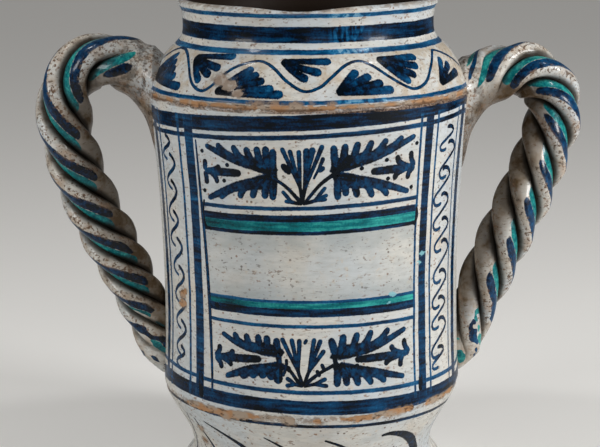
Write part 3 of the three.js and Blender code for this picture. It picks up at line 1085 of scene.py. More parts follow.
@dataclass(frozen=True)
class Fan:
    """Half a palmette: a spine bending away from a dark knot, and the dabs that rise from it."""

    knot: Point2
    bend: Point2
    tip: Point2
    dabs: tuple[Point2, ...]
    spine_width: float = 5.0
    dab_width: float = 3.7
    root_share: float = 0.42
    bend_share: float = 0.74
    dab_lean: float = 0.32
    body_rise: float = 0.24
    knot_end: float = 0.34
    # The widths of each kind of stroke, and how thick its colour is at both ends
    spine_ends: Point2 = (3.1, 5.4)
    spine_loads: Point2 = (0.6, 0.8)
    dab_swell: float = 1.25
    dab_root: float = 4.4
    dab_loads: Point2 = (0.62, 0.7)
    body_widths: Triple = (2.4, 5.4, 5.6)
    body_loads: Point2 = (0.6, 0.85)
    knot_foot: Point2 = (0.3, 2.2)
    knot_widths: Triple = (3.6, 6.8, 6.2)
    knot_loads: Point2 = (0.9, 1.35)

    def strokes(self) -> list[Stroke]:
        """Gives the fan's strokes, the knot last."""
        thin, thick = self.spine_ends
        widths = (thin, self.spine_width, thick)
        drawn = [Stroke((self.tip, self.bend, self.knot), widths, self.spine_loads)]
        body = []
        for dab in self.dabs:
            share = max(0.0, (dab[0] - self.knot[0]) / (self.tip[0] - self.knot[0]))
            root, way = self._spine(self.root_share * share), self._spine(self.bend_share * share)
            lean = between(way, dab, self.dab_lean, self.dab_lean)
            widths = (self.dab_width, self.dab_width * self.dab_swell, self.dab_root)
            drawn.append(Stroke((dab, lean, root), widths, self.dab_loads))
            body.append(between(way, dab, self.body_rise, self.body_rise))
        drawn.append(Stroke((*body[:-1], self.knot), self.body_widths, self.body_loads))
        beside, beyond = self.knot_foot
        low = (self.knot[0] + beside, self.knot[1] - math.copysign(beyond, self.tip[1] - self.knot[1]))
        drawn.append(Stroke((self._spine(self.knot_end), self.knot, low), self.knot_widths, self.knot_loads))
        return drawn

    def _spine(self, share: float) -> Point2:
        """Finds the point of the spine at a share of the way from the knot to the tip."""
        a, b, c = self.knot, self.bend, self.tip
        return tuple(a[i] * (1 - share) * (1 - 2 * share) + b[i] * 4 * share * (1 - share)
                     + c[i] * share * (2 * share - 1) for i in (0, 1))


@dataclass(frozen=True)
class Leaf:
    """A leaf of the shoulder's vine: broad washed strokes that part from one dark stalk end."""

    stalk: Point2
    tips: tuple[Point2, ...]
    width: float = 5.4
    # Where a stroke bends, its widths before its tip, and its loads: the tips' go up in three steps
    bend: Point2 = (0.55, 0.6)
    narrow: Point2 = (3.0, 4.4)
    stalk_load: float = 0.95
    tip_load: float = 0.42
    tip_step: float = 0.13

    def strokes(self) -> list[Stroke]:
        """Gives the leaf's strokes."""
        drawn = []
        for i, tip in enumerate(self.tips):
            path = (self.stalk, between(self.stalk, tip, *self.bend), tip)
            loads = (self.stalk_load, self.tip_load + self.tip_step * (i % 3))
            drawn.append(Stroke(path, (*self.narrow, self.width), loads))
        return drawn


@dataclass(frozen=True)
class Trident:
    """A barbed sprig that lies between two fans: a thick bar and short prongs from its outer end."""

    outer: Point2
    inner: Point2
    prongs: tuple[Point2, ...]
    bar_widths: Triple = (3.6, 5.0, 4.0)
    bar_loads: Point2 = (0.5, 1.0)
    # A prong that ends this many degrees nearer the middle than the bar springs from a share along it
    inward: float = 4.0
    root_share: float = 0.14
    bend: Point2 = (0.8, 0.45)
    prong_widths: Triple = (3.4, 3.6, 3.5)
    prong_loads: Point2 = (0.5, 0.9)

    def strokes(self) -> list[Stroke]:
        """Gives the sprig's strokes."""
        drawn = [Stroke((self.outer, self.inner), self.bar_widths, self.bar_loads)]
        for prong in self.prongs:
            share = self.root_share if abs(prong[0]) < abs(self.outer[0]) - self.inward else 0.0
            root = between(self.outer, self.inner, share, share)
            path = (root, between(root, prong, *self.bend), prong)
            drawn.append(Stroke(path, self.prong_widths, self.prong_loads))
        return drawn


@dataclass(frozen=True)
class Spray:
    """Thin blades that spread from one base through a common waist."""

    base: Point2
    waist: Point2
    tips: tuple[Point2, ...]
    width: float = 2.9
    narrow: Point2 = (1.7, 2.2)
    loads: Point2 = (0.9, 0.58)

    def strokes(self) -> list[Stroke]:
        """Gives the blades."""
        return [Stroke((self.base, self.waist, between(self.waist, tip, 0.5, 0.5), tip),
                       (*self.narrow, self.width), self.loads) for tip in self.tips]


@dataclass(frozen=True)
class Dots:
    """Dots, as wide as they are high where a degree is 1.5 mm."""

    places: tuple[Point2, ...]
    size: float = 2.5

    def strokes(self) -> list[Stroke]:
        """Gives a short stroke for each dot."""
        reach, widths = self.size / 3, (self.size, self.size, self.size)
        return [Stroke(((x - reach, z), (x + reach, z)), widths, (1, 1)) for x, z in self.places]


@dataclass(frozen=True)
class Scrolls:
    """A column of like scrolls, each stretched to the next one's head as the hand makes them.

    The heads are where they start, from the top down. The line is one scroll's path from its head, in
    degrees and millimetres, for heads that are one spacing apart.
    """

    heads: tuple[Point2, ...]
    spacing: float
    line: tuple[Point2, ...]
    widths: Triple
    last_gap: float = 0.6
    widening: float = 0.4
    loads: Point2 = (0.8, 0.5)

    def strokes(self) -> list[Stroke]:
        """Gives a stroke for each scroll."""
        gaps = [above[1] - below[1] for above, below in zip(self.heads, self.heads[1:])]
        drawn = []
        for (angle, height), gap in zip(self.heads, gaps + [self.last_gap * self.spacing]):
            stretch = gap / self.spacing
            wider = 1 + self.widening * (stretch - 1)
            path = tuple((angle + x * wider, height + z * stretch) for x, z in self.line)
            drawn.append(Stroke(path, self.widths, self.loads))
        return drawn


Shape = Union[Stroke, Fan, Leaf, Trident, Spray, Dots, Scrolls]

# Where the blades of the upper and of the lower compartment spring from
UPPER_BASE = (-2.9, 174.4)
LOWER_BASE = (-3.3, 74.4)

PAINTING: dict[str, tuple[Shape, ...]] = {
    # The waved stem that runs round the shoulder
    "shoulder_vine": (Stroke((
        (-82, 243.5), (-72, 249.6), (-65, 251), (-57.5, 248.6), (-52.3, 243.8), (-46.5, 235.4),
        (-40.9, 232.1), (-36.9, 234.8), (-31.7, 242.2), (-26.8, 246.1), (-20.2, 248.3), (-15.9, 247.1),
        (-12.2, 243.9),
        (-7.8, 238.5), (-1.9, 233.8), (3.6, 235.8), (7.4, 240), (13.2, 245.8), (18.8, 247.9), (23.8, 245.6),
        (30.8, 238.4), (36.4, 233.5), (40.2, 232.3), (45.7, 234.8), (51.6, 241.5), (58.3, 248.1),
        (62.6, 248.9), (73.8, 243.1), (81, 237.5),
    ), (1.9, 1.9, 1.9)),),
    # The leaves above and below it
    "shoulder_leaves": (
        Leaf((-82, 234.5), ((-64.5, 248.2), (-62, 244.6), (-60, 241), (-57.6, 237.4), (-52.2, 232.6))),
        Leaf((-50.9, 248.6), ((-30.2, 249.8), (-35, 243.6), (-38.6, 239.6), (-42.8, 236))),
        Leaf((-34.6, 232.2), ((-21, 244.8), (-18.4, 242), (-16, 239), (-12.4, 235), (-9, 232.2))),
        Leaf((-10.6, 248.6), ((8.4, 248), (4.4, 242.4), (-0.6, 239))),
        Leaf((9.2, 232.6), ((17.8, 243.4), (22.6, 240.6), (26.8, 236.8), (30.4, 233))),
        Leaf((27, 248.4), ((46.4, 247.6), (45, 243), (42.2, 238.6), (38.6, 235.6))),
        Leaf((53.6, 232.6), ((61.8, 245.4), (66.6, 242), (71.5, 236.8))),
    ),
    # The fans, sprigs and dots of both compartments, and the bars that join two fans
    "palmettes": (
        Fan((-13.4, 192.6), (-25.6, 196.5), (-39, 203.6), (
            (-34, 205), (-27.6, 204.9), (-22.6, 204.4), (-18.6, 205), (-15.4, 205.4), (-12.6, 204))),
        Fan((-13.4, 188), (-26.2, 183.2), (-39.2, 174.6), (
            (-34, 175.4), (-25.9, 176.4), (-20.8, 176.8), (-16.2, 176.8), (-13.2, 176.2))),
        Fan((8.6, 193.4), (23, 198.4), (39, 207.6), (
            (33.6, 208), (27.2, 207.6), (21.6, 207.4), (16.5, 207.2), (12, 206.4), (7.8, 205.8))),
        Fan((9.4, 188.6), (23.5, 184.4), (37.4, 177.4), (
            (28.4, 176.6), (22.3, 176.5), (16.5, 177), (12.4, 178), (9.4, 176.2))),
        Fan((-12.4, 93.2), (-25, 94.2), (-35.4, 100.6), (
            (-30, 102), (-25, 102.1), (-20.2, 102.4), (-16.8, 102.2), (-13, 101)), 3.8, 3.6),
        Fan((-12, 84.8), (-23, 82.4), (-33.8, 76.6), (
            (-27.2, 77), (-23, 77.6), (-19, 77.8), (-15.4, 77.2), (-12.6, 75.4)), 5.4, 4.6),
        Fan((8.6, 91.4), (22, 93.6), (37.4, 101.6), (
            (29.8, 103.4), (22.6, 103.6), (17, 103.2), (11.6, 102.8), (6.8, 101))),
        Fan((9.4, 84.6), (22.5, 80.6), (36.4, 74.8), (
            (28, 73.8), (22.4, 73.4), (17.2, 73.4), (12.8, 73.8), (9, 73.6))),
        Trident((-39.8, 189.6), (-24.6, 190),
                ((-39.6, 196), (-33.4, 193.8), (-39.3, 182.2), (-34.6, 183.2))),
        Trident((39.4, 191), (21.3, 190.4), ((31.4, 198.2), (37.4, 199.6), (30.6, 184.8), (36.4, 184.2))),
        Trident((-38.6, 86.8), (-18.8, 88.6), ((-36.3, 94), (-30.3, 92.4), (-35.6, 80.2), (-31.2, 82.4))),
        Trident((39, 87.8), (15.8, 88.2), ((30.5, 94), (36.4, 96.2), (27.9, 82.8), (34.6, 80.4))),
        Stroke(((-13.2, 203), (-13, 190.4), (-12.9, 178)), (3.4, 5, 3.4), (0.75, 0.85)),
        Stroke(((8.4, 194.4), (9, 191), (9.6, 187)), (4.4, 5, 4.6), (1.2, 1.2)),
        Stroke(((-13.2, 100.6), (-12.2, 89), (-12, 76)), (3.6, 3.4, 4), (0.75, 0.9)),
        Stroke(((8.2, 92), (8.4, 88), (9.4, 83.6)), (4.2, 2.8, 4.2), (1.2, 1.1)),
        Dots((
        (-40.6, 200.2), (-30, 193.9), (-31.6, 185.2), (-40.6, 178.6), (27.3, 196.1), (17.9, 192.6),
        (28.1, 185.9), (38.4, 179.6), (39.8, 203.3), (16.6, 84.8),
        )),
    ),
    # The blades, stems and tufts in the middle of both compartments
    "sprays": (
        Spray(UPPER_BASE, (-3.6, 183), ((-9.8, 204.8), (-7.1, 203.8), (-3.9, 203.6))),
        Spray(UPPER_BASE, (-2.2, 183), ((-1.2, 204.6), (0.9, 205)), 4.4),
        Spray(UPPER_BASE, (-1.6, 184), ((4.2, 206.2),), 3),
        Stroke(((-13.4, 188.6), (-8.4, 183.6), UPPER_BASE), (2, 2.1, 2.8), (0.7, 0.95)),
        Stroke(((8.6, 190.8), (3.4, 185), (-2, 175.4)), (2.8, 2.1, 2), (0.9, 0.7)),
        Stroke(((-10, 195.8), (-8.4, 193.6), (-7, 190.4)), (2, 4.2, 1.8), (0.9, 1.0)),
        Stroke(((4.5, 199.6), (3.2, 194.6), (1, 187.8)), (2.8, 1.8, 1.5), (0.8, 0.6)),
        Stroke(((4.8, 194.4), (2.6, 191.6)), (2.6, 3, 1.4), (0.7, 0.7)),
        Spray(UPPER_BASE, (-6.4, 175.4), ((-10, 181.6), (-9.2, 176)), 2.3),
        Spray(UPPER_BASE, (1.2, 176.2), ((5.3, 183.6), (6, 179.4), (5.7, 176.9)), 2.2),
        Spray(LOWER_BASE, (-5, 82), ((-11.2, 101.2), (-7.5, 101), (-4.6, 100.8))),
        Spray(LOWER_BASE, (-1.4, 82), ((0.9, 101.2), (3.3, 100.4), (4.6, 94.6))),
        Stroke(((-12.4, 87.2), (-8.4, 83.4), (-5.4, 77.4), LOWER_BASE), (2.2, 2.1, 2.8), (0.8, 0.95)),
        Stroke(((8.8, 86.6), (2.8, 81.8), (-1, 77.6), LOWER_BASE), (2.6, 2.1, 2.8), (0.85, 0.9)),
        Stroke(((-1.8, 100.6), (-2.9, 97.6)), (1.7, 2.1, 1.7), (0.7, 0.7)),
        Stroke(((-9.4, 89.6), (-9.5, 85), (-10.8, 79.6)), (2, 1.9, 1.8), (0.9, 0.6)),
        Stroke(((-9, 85.8), (-8.2, 82)), (2, 2.8, 2), (0.9, 0.9)),
        Stroke(((3.3, 87), (4.7, 82.4)), (1.7, 2.4, 1.9), (0.8, 0.9)),
        Stroke(((1.5, 83.6), (2.8, 79.6)), (1.9, 2.5, 2), (0.9, 0.9)),
        Spray(LOWER_BASE, (-6, 75.4), ((-9.7, 79.2), (-9.9, 74.6)), 3),
        Spray(LOWER_BASE, (0.6, 75.6), ((5.3, 78.7), (5.8, 74.4)), 2.8),
    ),
    # The two columns of scrolls, and the line and the dark ends beside them
    "frame_scrolls": (
        Scrolls((
            (-63.1, 205.1), (-61.1, 194.9), (-61.8, 180.1), (-62.1, 162.7), (-60.6, 147.8), (-60.2, 132),
            (-60, 116.1), (-59.7, 101.2), (-60.1, 86.2),
        ), 15.6, (
            (0, 0), (2.4, -1.8), (4, -5), (2.4, -8.6), (-1.6, -12.6), (-3.6, -16.4), (-2.2, -19.6),
            (0.6, -21.2),
        ), (2.5, 2.4, 1.7)),
        Scrolls((
            (57.1, 208), (58.9, 198.9), (56.4, 184.7), (56.7, 170.1), (58, 156.2), (58.4, 143.2),
            (57.4, 126.6), (56.8, 111.8), (56.9, 99.5), (56.1, 84),
        ), 14, (
            (0, 0), (0.7, 1.6), (4.1, 0.4), (5.4, -3.6), (0.2, -8.6), (-4.4, -13), (-4.6, -16.8),
            (-2.6, -18.2), (0.4, -17.4),
        ), (2.7, 2.0, 2.2)),
        Stroke(((-43.4, 206), (-42.8, 172), (-42, 145), (-41.3, 120), (-40.3, 82), (-40, 66)),
               (1.3, 2.5, 1.7), (0.6, 0.7)),
        Stroke(((-46.2, 76), (-45.8, 61)), (3.4, 4.4, 4.6), (0.7, 1.1)),
        Stroke(((44.6, 74), (44.4, 64)), (2.4, 3.6, 3.2), (0.7, 1.1)),
        Stroke(((-41.2, 173.6), (-42.2, 166), (-41.2, 159), (-38.6, 157.2)), (1.4, 1.8, 1.2), (0.9, 1.0)),
        Stroke(((41.6, 168), (41.9, 163), (40.6, 158)), (1.6, 2.2, 1.4), (0.9, 0.9)),
        Stroke(((-38.2, 116.6), (-36.4, 113.6)), (3, 3.8, 3), (1.0, 1.1)),
    ),
    # The long loose strokes that fall over the waist below the lower angle
    "waist_strokes": (
        Stroke(((-61, 46), (-66, 34), (-75, 16)), (0.9, 1.6, 2.2), (0.9, 0.7)),
        Stroke(((-56, 45), (-54.4, 36), (-50, 24)), (1, 2, 2.6), (0.9, 0.7)),
        Stroke(((-49, 45.2), (-40.5, 40.4), (-31.5, 33.6), (-22, 22)), (1, 3.2, 5), (0.95, 0.7)),
        Stroke(((-20, 42.4), (-14, 37.4), (-5, 28), (0, 19)), (1, 2.6, 3.4), (0.95, 0.7)),
        Stroke(((4.7, 41.6), (11.4, 37.2), (20, 29), (27, 19)), (1.6, 2.6, 3.6), (0.95, 0.7)),
        Stroke(((29, 40.8), (34, 41), (42, 37.6), (50, 31), (58, 20)), (2, 5.6, 6.4), (0.95, 0.75)),
    ),
}


def curve_through(points: np.ndarray, count: int) -> np.ndarray:
    """Draws a smooth curve through points.

    Args:
        points: the points, one to a row.
        count: how many points each stretch between two of them gets.

    Returns:
        The curve's points.
    """
    held = np.concatenate([2 * points[:1] - points[1:2], points, 2 * points[-1:] - points[-2:-1]])
    t = (np.arange(count) / count)[:, None]
    drawn = []
    for a, b, c, d in zip(held[:-3], held[1:-2], held[2:-1], held[3:]):
        drawn.append(0.5 * (2 * b + (c - a) * t + (2 * a - 5 * b + 4 * c - d) * t**2
                            + (3 * b - a - 3 * c + d) * t**3))
    return np.concatenate(drawn + [points[-1:]])


@dataclass
class Brush:
    """Lays strokes on the jar as thin closed ribbons of colour, crowned, and sunk into the glaze below."""

    jar: JarBody
    stride: float = 1.9
    crown: float = 0.07
    layer: float = 0.012
    edge_lift: float = 0.02
    sunk: float = 0.3
    levels: int = 7
    sides: int = 4
    round_tip: Triple = (0.0, 0.16, 0.5)
    # The steps between two points of a path, how much of a short stroke one end may take, and how narrow
    # its very tip is
    path_steps: int = 12
    end_share: float = 0.45
    tip_share: float = 0.06

    def lay(self, name: str, shapes: tuple[Shape, ...]) -> bpy.types.Object:
        """Lays shapes on the front, and the same turned half round on the back.

        Args:
            name: the piece's name.
            shapes: the shapes.

        Returns:
            The piece.
        """
        strokes = [stroke for shape in shapes for stroke in shape.strokes()]
        templates: dict[int, bpy.types.Object] = {}
        laid = []
        for turn in (0.0, 180.0):
            for i, stroke in enumerate(strokes):
                places, loads = self._ribbon(stroke, turn, self.crown + self.layer * (i % self.levels))
                rows = len(places) - 1
                if rows not in templates:
                    templates[rows] = blank("template", self.sides, rows)
                laid.append(self._copy(templates[rows], places, loads))
        for template in templates.values():
            bpy.data.objects.remove(template)
        choose(*laid)
        bpy.ops.object.join()
        piece = bpy.context.object
        piece.name = piece.data.name = name
        close_and_smooth(piece, True)
        return piece

    def _stations(self, total: float, radii: Point2) -> np.ndarray:
        """Picks distances along a stroke: close at its round ends and even between.

        Args:
            total: the stroke's length.
            radii: the radii of its two ends.

        Returns:
            The distances.
        """
        first, last = (min(radius, self.end_share * total) for radius in radii)
        middle = np.linspace(first, total - last, max(3, round((total - first - last) / self.stride) + 1))
        tips = np.array(self.round_tip)
        return np.concatenate([tips * first, middle, total - tips[::-1] * last])

    def _ribbon(self, stroke: Stroke, turn: float, crown: float) -> tuple[np.ndarray, np.ndarray]:
        """Works out a stroke's points: left edge, crown, right edge, underside and left edge again.

        Args:
            stroke: the stroke.
            turn: how far round the jar it is moved, in degrees.
            crown: how high its middle stands.

        Returns:
            The points in millimetres by row and column, and the load of each row.
        """
        path = curve_through(np.array(stroke.path, float), self.path_steps) + (turn, 0)
        places = self.jar.on_surface(path[:, 0], path[:, 1], 0.0)
        way = np.concatenate([[0], np.cumsum(np.linalg.norm(np.diff(places, axis=0), axis=1))])
        total = way[-1]
        start, middle, end = stroke.widths
        stops = self._stations(total, (start / 2, end / 2))
        angle, height = (np.interp(stops, way, path[:, i]) for i in (0, 1))
        share = stops / total
        width = start + share * (4 * middle - 3 * start - end)
        width += share**2 * (2 * start - 4 * middle + 2 * end)
        near = np.minimum(stops / (start / 2), (total - stops) / (end / 2))
        half = width / 2 * np.sqrt(np.clip(1 - (1 - np.clip(near, 0, 1)) ** 2, self.tip_share, 1))
        spots = self.jar.on_surface(angle, height, 0.0)
        sideways = np.cross(np.gradient(spots, axis=0), self.jar.normal(angle, height))
        sideways /= np.linalg.norm(sideways, axis=1, keepdims=True)
        columns = []
        for side, lift in ((-1, self.edge_lift), (0, crown), (1, self.edge_lift), (0, -self.sunk)):
            moved = spots + sideways * (side * half)[:, None]
            around = np.degrees(np.arctan2(moved[:, 0], -moved[:, 1]))
            columns.append(self.jar.on_surface(around, moved[:, 2], lift))
        loads = stroke.loads[0] + (stroke.loads[1] - stroke.loads[0]) * share
        return np.stack(columns + columns[:1], 1), loads

    def _copy(self, template: bpy.types.Object, places: np.ndarray, loads: np.ndarray) -> bpy.types.Object:
        """Copies a flat grid and wraps it into a stroke.

        Args:
            template: the grid.
            places: the stroke's points by row and column.
            loads: the load of each row.

        Returns:
            The stroke.
        """
        obj = template.copy()
        obj.data = template.data.copy()
        bpy.context.scene.collection.objects.link(obj)
        flat = points_of(obj.data)
        column = np.rint((flat[:, 0] + 0.5) * self.sides).astype(int)
        row = np.rint((flat[:, 1] + 0.5) * (len(places) - 1)).astype(int)
        move_points(obj.data, places[row, column] * MM)
        keep_number(obj.data, "edge", (column % 2 == 0) | (row == 0) | (row == len(places) - 1))
        keep_number(obj.data, "load", loads[row])
        keep_number(obj.data, "chip", self.jar.chip(places[row, column]))
        return obj


class PaintFinish(Ceramic):
    """Cobalt laid on with a brush: mottled, darker where it pooled, thin at its edges, gone where worn."""

    # What is added to every stroke's load, what its rim gains, and what its very edge loses again
    more_load: float = 0.12
    dark_rim: Triple = (0.3, 0.85, 0.12)
    thin_edge: Triple = (0.8, 1.0, 0.4)
    # A full stroke pooled in its middle, so its rim is paler: from which load, how near the edge, how much
    full_stroke: Point2 = (0.85, 1.2)
    full_rim: Point2 = (0.2, 1.0)
    full_share: float = 0.6
    outline_edge: Point2 = (1.02, 0.82)
    stained_share: float = 0.6

    def build(self) -> bpy.types.Material:
        """Builds the material.

        Returns:
            The material.
        """
        rim, full = self.attribute("edge"), self.attribute("load")
        edge = rim + self.sway("stroke_edges")
        load = full + self.more_load + self.sway("stroke_blots") + self.sway("grain")
        load = load + rim.part(*self.dark_rim)
        pooled = full.step(*self.full_stroke) * rim.step(*self.full_rim)
        load = load - edge.part(*self.thin_edge) - pooled * self.full_share
        worn, stained = self.wear()
        alpha = edge.step(*self.outline_edge) & (1 - (worn | stained * self.stained_share))
        return self.finish(self.ramp(load, COBALT), self.dullness(), self.relief(), self.bump,
                           {"Alpha": alpha, **self.sockets()})


class Lean(Enum):
    """The side towards which a rope's strands lean."""

    LEFT = 1
    RIGHT = -1


@dataclass
class RopeHandle:
    """A handle twisted from four coils of clay, from its root at the shoulder to its root on the wall."""

    name: str
    outline: Outline
    side: int
    arch_rise: float
    bend_width: float
    bend_drop: float
    hang_share: float
    top_pitch: float
    foot_pitch: float
    first_groove: float
    lean: Lean
    upper_root: float = 30.0
    lower_root: float = 56.0
    root_seat: float = 10.4
    root_climb: float = 20.5
    lower_seat: float = 2.0
    root_above: float = 21.0
    root_below: float = 42.0
    root_width: float = 43.0
    root_fillet: float = 13.0
    groove_depth: float = 5.0
    groove_run_out: float = 24.0
    foot_thickness: float = 24.0
    taper: float = 100.0
    toe: float = 15.0
    sunk: float = 3.0
    columns: int = 200
    rows: int = 420
    # The rope's swells: how strong they are, the size of the broad and of the small ones, how strong the
    # small ones and the ones upwards are beside the others, and the radius they are measured at
    uneven: float = 0.45
    swell_size: float = 16.0
    dent_size: float = 5.0
    dent_share: float = 0.4
    rise_share: float = 0.6
    swell_radius: float = 140.0
    crest_place: float = 1.45
    crest_power: float = 0.8
    # Where the bend at the root is held, the steps of each bend, and half the length that gives a direction
    root_bend: Point2 = (0.45, 0.5)
    bend_steps: int = 240
    probe: float = 0.3
    slit_width: float = 0.035
    slit_depth: float = 0.5
    taper_power: float = 1.6
    toe_power: float = 0.7
    toe_share: float = 0.2
    run_in: float = 8.0
    run_out_share: float = 0.8
    round_bend: float = 0.55
    foot_swing: float = 5.5
    foot_rise: float = 0.28

    def __post_init__(self) -> None:
        """Works out the centre line and its length."""
        wide = float(self.outline.radius(UPPER_ANGLE))
        narrow = float(self.outline.radius(LOWER_ANGLE))
        reach = wide + FINGER_ROOM + ROPE_RADIUS
        peak = UPPER_ANGLE + self.arch_rise
        crown, corner = (reach - self.bend_width, peak), (reach, peak)
        outermost = (reach, peak - self.bend_drop)
        start = (wide - self.root_seat, peak - self.root_climb)
        over = (start[0] + self.root_climb, peak)
        end = (narrow - self.lower_seat, LOWER_ANGLE + self.lower_seat)
        bends = (
            (start, between(start, over, *self.root_bend), over, crown),
            (crown, between(crown, corner, self.round_bend, 0),
             between(outermost, corner, 0, self.round_bend), outermost),
            (outermost, between(outermost, end, 0, self.hang_share),
             (end[0] + self.foot_swing, end[1] + self.foot_rise * (outermost[1] - end[1])), end),
        )
        t = np.linspace(0, 1, self.bend_steps)[:, None]
        line = np.concatenate([
            (1 - t) ** 3 * np.array(a) + 3 * (1 - t) ** 2 * t * np.array(b)
            + 3 * (1 - t) * t**2 * np.array(c) + t**3 * np.array(d) for a, b, c, d in bends])
        line = line[np.concatenate([[True], np.hypot(*np.diff(line, axis=0).T) > 1e-6])]
        self._line = line
        self._way = np.concatenate([[0], np.cumsum(np.hypot(*np.diff(line, axis=0).T))])
        self.length = float(self._way[-1])

    def centre(self, s: np.ndarray) -> np.ndarray:
        """Gives the centre line's points at distances along it."""
        return np.stack([np.interp(s, self._way, self._line[:, i]) for i in (0, 1)], -1)

    def twist(self, s: np.ndarray) -> np.ndarray:
        """Gives the angle of the first groove at distances along the rope, in radians."""
        gain = (1 / self.foot_pitch - 1 / self.top_pitch) / (2 * self.length)
        return math.tau * (s / self.top_pitch + gain * s * s + self.first_groove)

    def lobe(self, share: np.ndarray) -> np.ndarray:
        """Gives how high a strand stands across its width, from 0 in a groove to 1 on its crest."""
        across = share if self.lean is Lean.LEFT else 1 - share
        hollow = np.clip(np.sin(math.pi * across ** self.crest_place), 0, 1) ** self.crest_power
        slit = np.exp(-(np.minimum(share, 1 - share) / self.slit_width) ** 2)
        return hollow - self.slit_depth * slit

    def surface(self, along: np.ndarray, around: np.ndarray) -> dict[str, np.ndarray]:
        """Finds points of the rope's surface.

        Args:
            along: shares of the way along the rope.
            around: shares of the way round it, from the first groove.

        Returns:
            By name: the points in millimetres, how far each faces outwards, how high it stands on its
            strand, and how deep the grooves are there.
        """
        s = along * self.length
        centre = self.centre(s)
        ahead, behind = (self.centre(np.clip(np.maximum(s, self.upper_root) + d, 0, self.length))
                         for d in (self.probe, -self.probe))
        tangent = ahead - behind
        turn = smooth_step(2 * s / self.upper_root - 1) * np.arctan2(tangent[..., 1], tangent[..., 0])
        angle = self.twist(s) + math.tau * around
        left = self.length - s
        taper = np.clip(1 - left / self.taper, 0, 1) ** self.taper_power
        toe = self.toe_share + (1 - self.toe_share) * np.clip(left / self.toe, 0, 1) ** self.toe_power
        radius = (ROPE_RADIUS + (self.foot_thickness / 2 - ROPE_RADIUS) * taper) * toe
        fade = smooth_step((s - self.upper_root + self.run_in) / self.groove_run_out)
        fade = fade * smooth_step(left / (self.run_out_share * self.lower_root))
        crest = self.lobe((STRANDS * around) % 1.0)
        reach = radius - self.groove_depth * fade * radius / ROPE_RADIUS * (1 - crest)
        clear = (centre[..., 0] - self.outline.radius(UPPER_ANGLE - self.root_below)) / self.root_fillet
        flare = np.where(s > self.upper_root, 0, np.clip(1 - clear, 0, 1) ** 2)
        upright = np.where(np.cos(angle) > 0, self.root_above, self.root_below)
        up = reach * (1 + (upright / ROPE_RADIUS - 1) * flare) * np.cos(angle)
        wide = reach * (1 + (self.root_width / 2 / ROPE_RADIUS - 1) * flare) * np.sin(angle)
        out, height = centre[..., 0] - np.sin(turn) * up, centre[..., 1] + np.cos(turn) * up
        return {"points": np.stack([out, wide, height], -1), "outward": np.cos(angle), "crest": crest,
                "fade": fade}

    def build(self) -> bpy.types.Object:
        """Wraps a grid into the rope.

        Returns:
            The handle.
        """
        obj = blank(self.name, self.columns, self.rows)
        flat = points_of(obj.data)
        found = self.surface(flat[:, 1] + 0.5, flat[:, 0] + 0.5)
        points = found["points"]
        swell = Unevenness.at(points, self.swell_size, 0.5)
        swell += self.dent_share * Unevenness.at(points, self.dent_size, 1.5)
        points[:, 2] += self.rise_share * self.uneven * Unevenness.at(points, self.swell_size, 2.5)
        points[:, :2] *= (1 + self.uneven * swell / self.swell_radius)[:, None]
        radius = np.hypot(points[:, 0], points[:, 1])
        seat = self.outline.radius(points[:, 2]) - self.sunk
        points[:, :2] *= np.maximum(1, seat / radius)[:, None]
        points[:, :2] *= self.side
        move_points(obj.data, points * MM)
        for key in ("outward", "crest", "fade"):
            keep_number(obj.data, key, found[key])
        close_and_smooth(obj, True)
        return obj


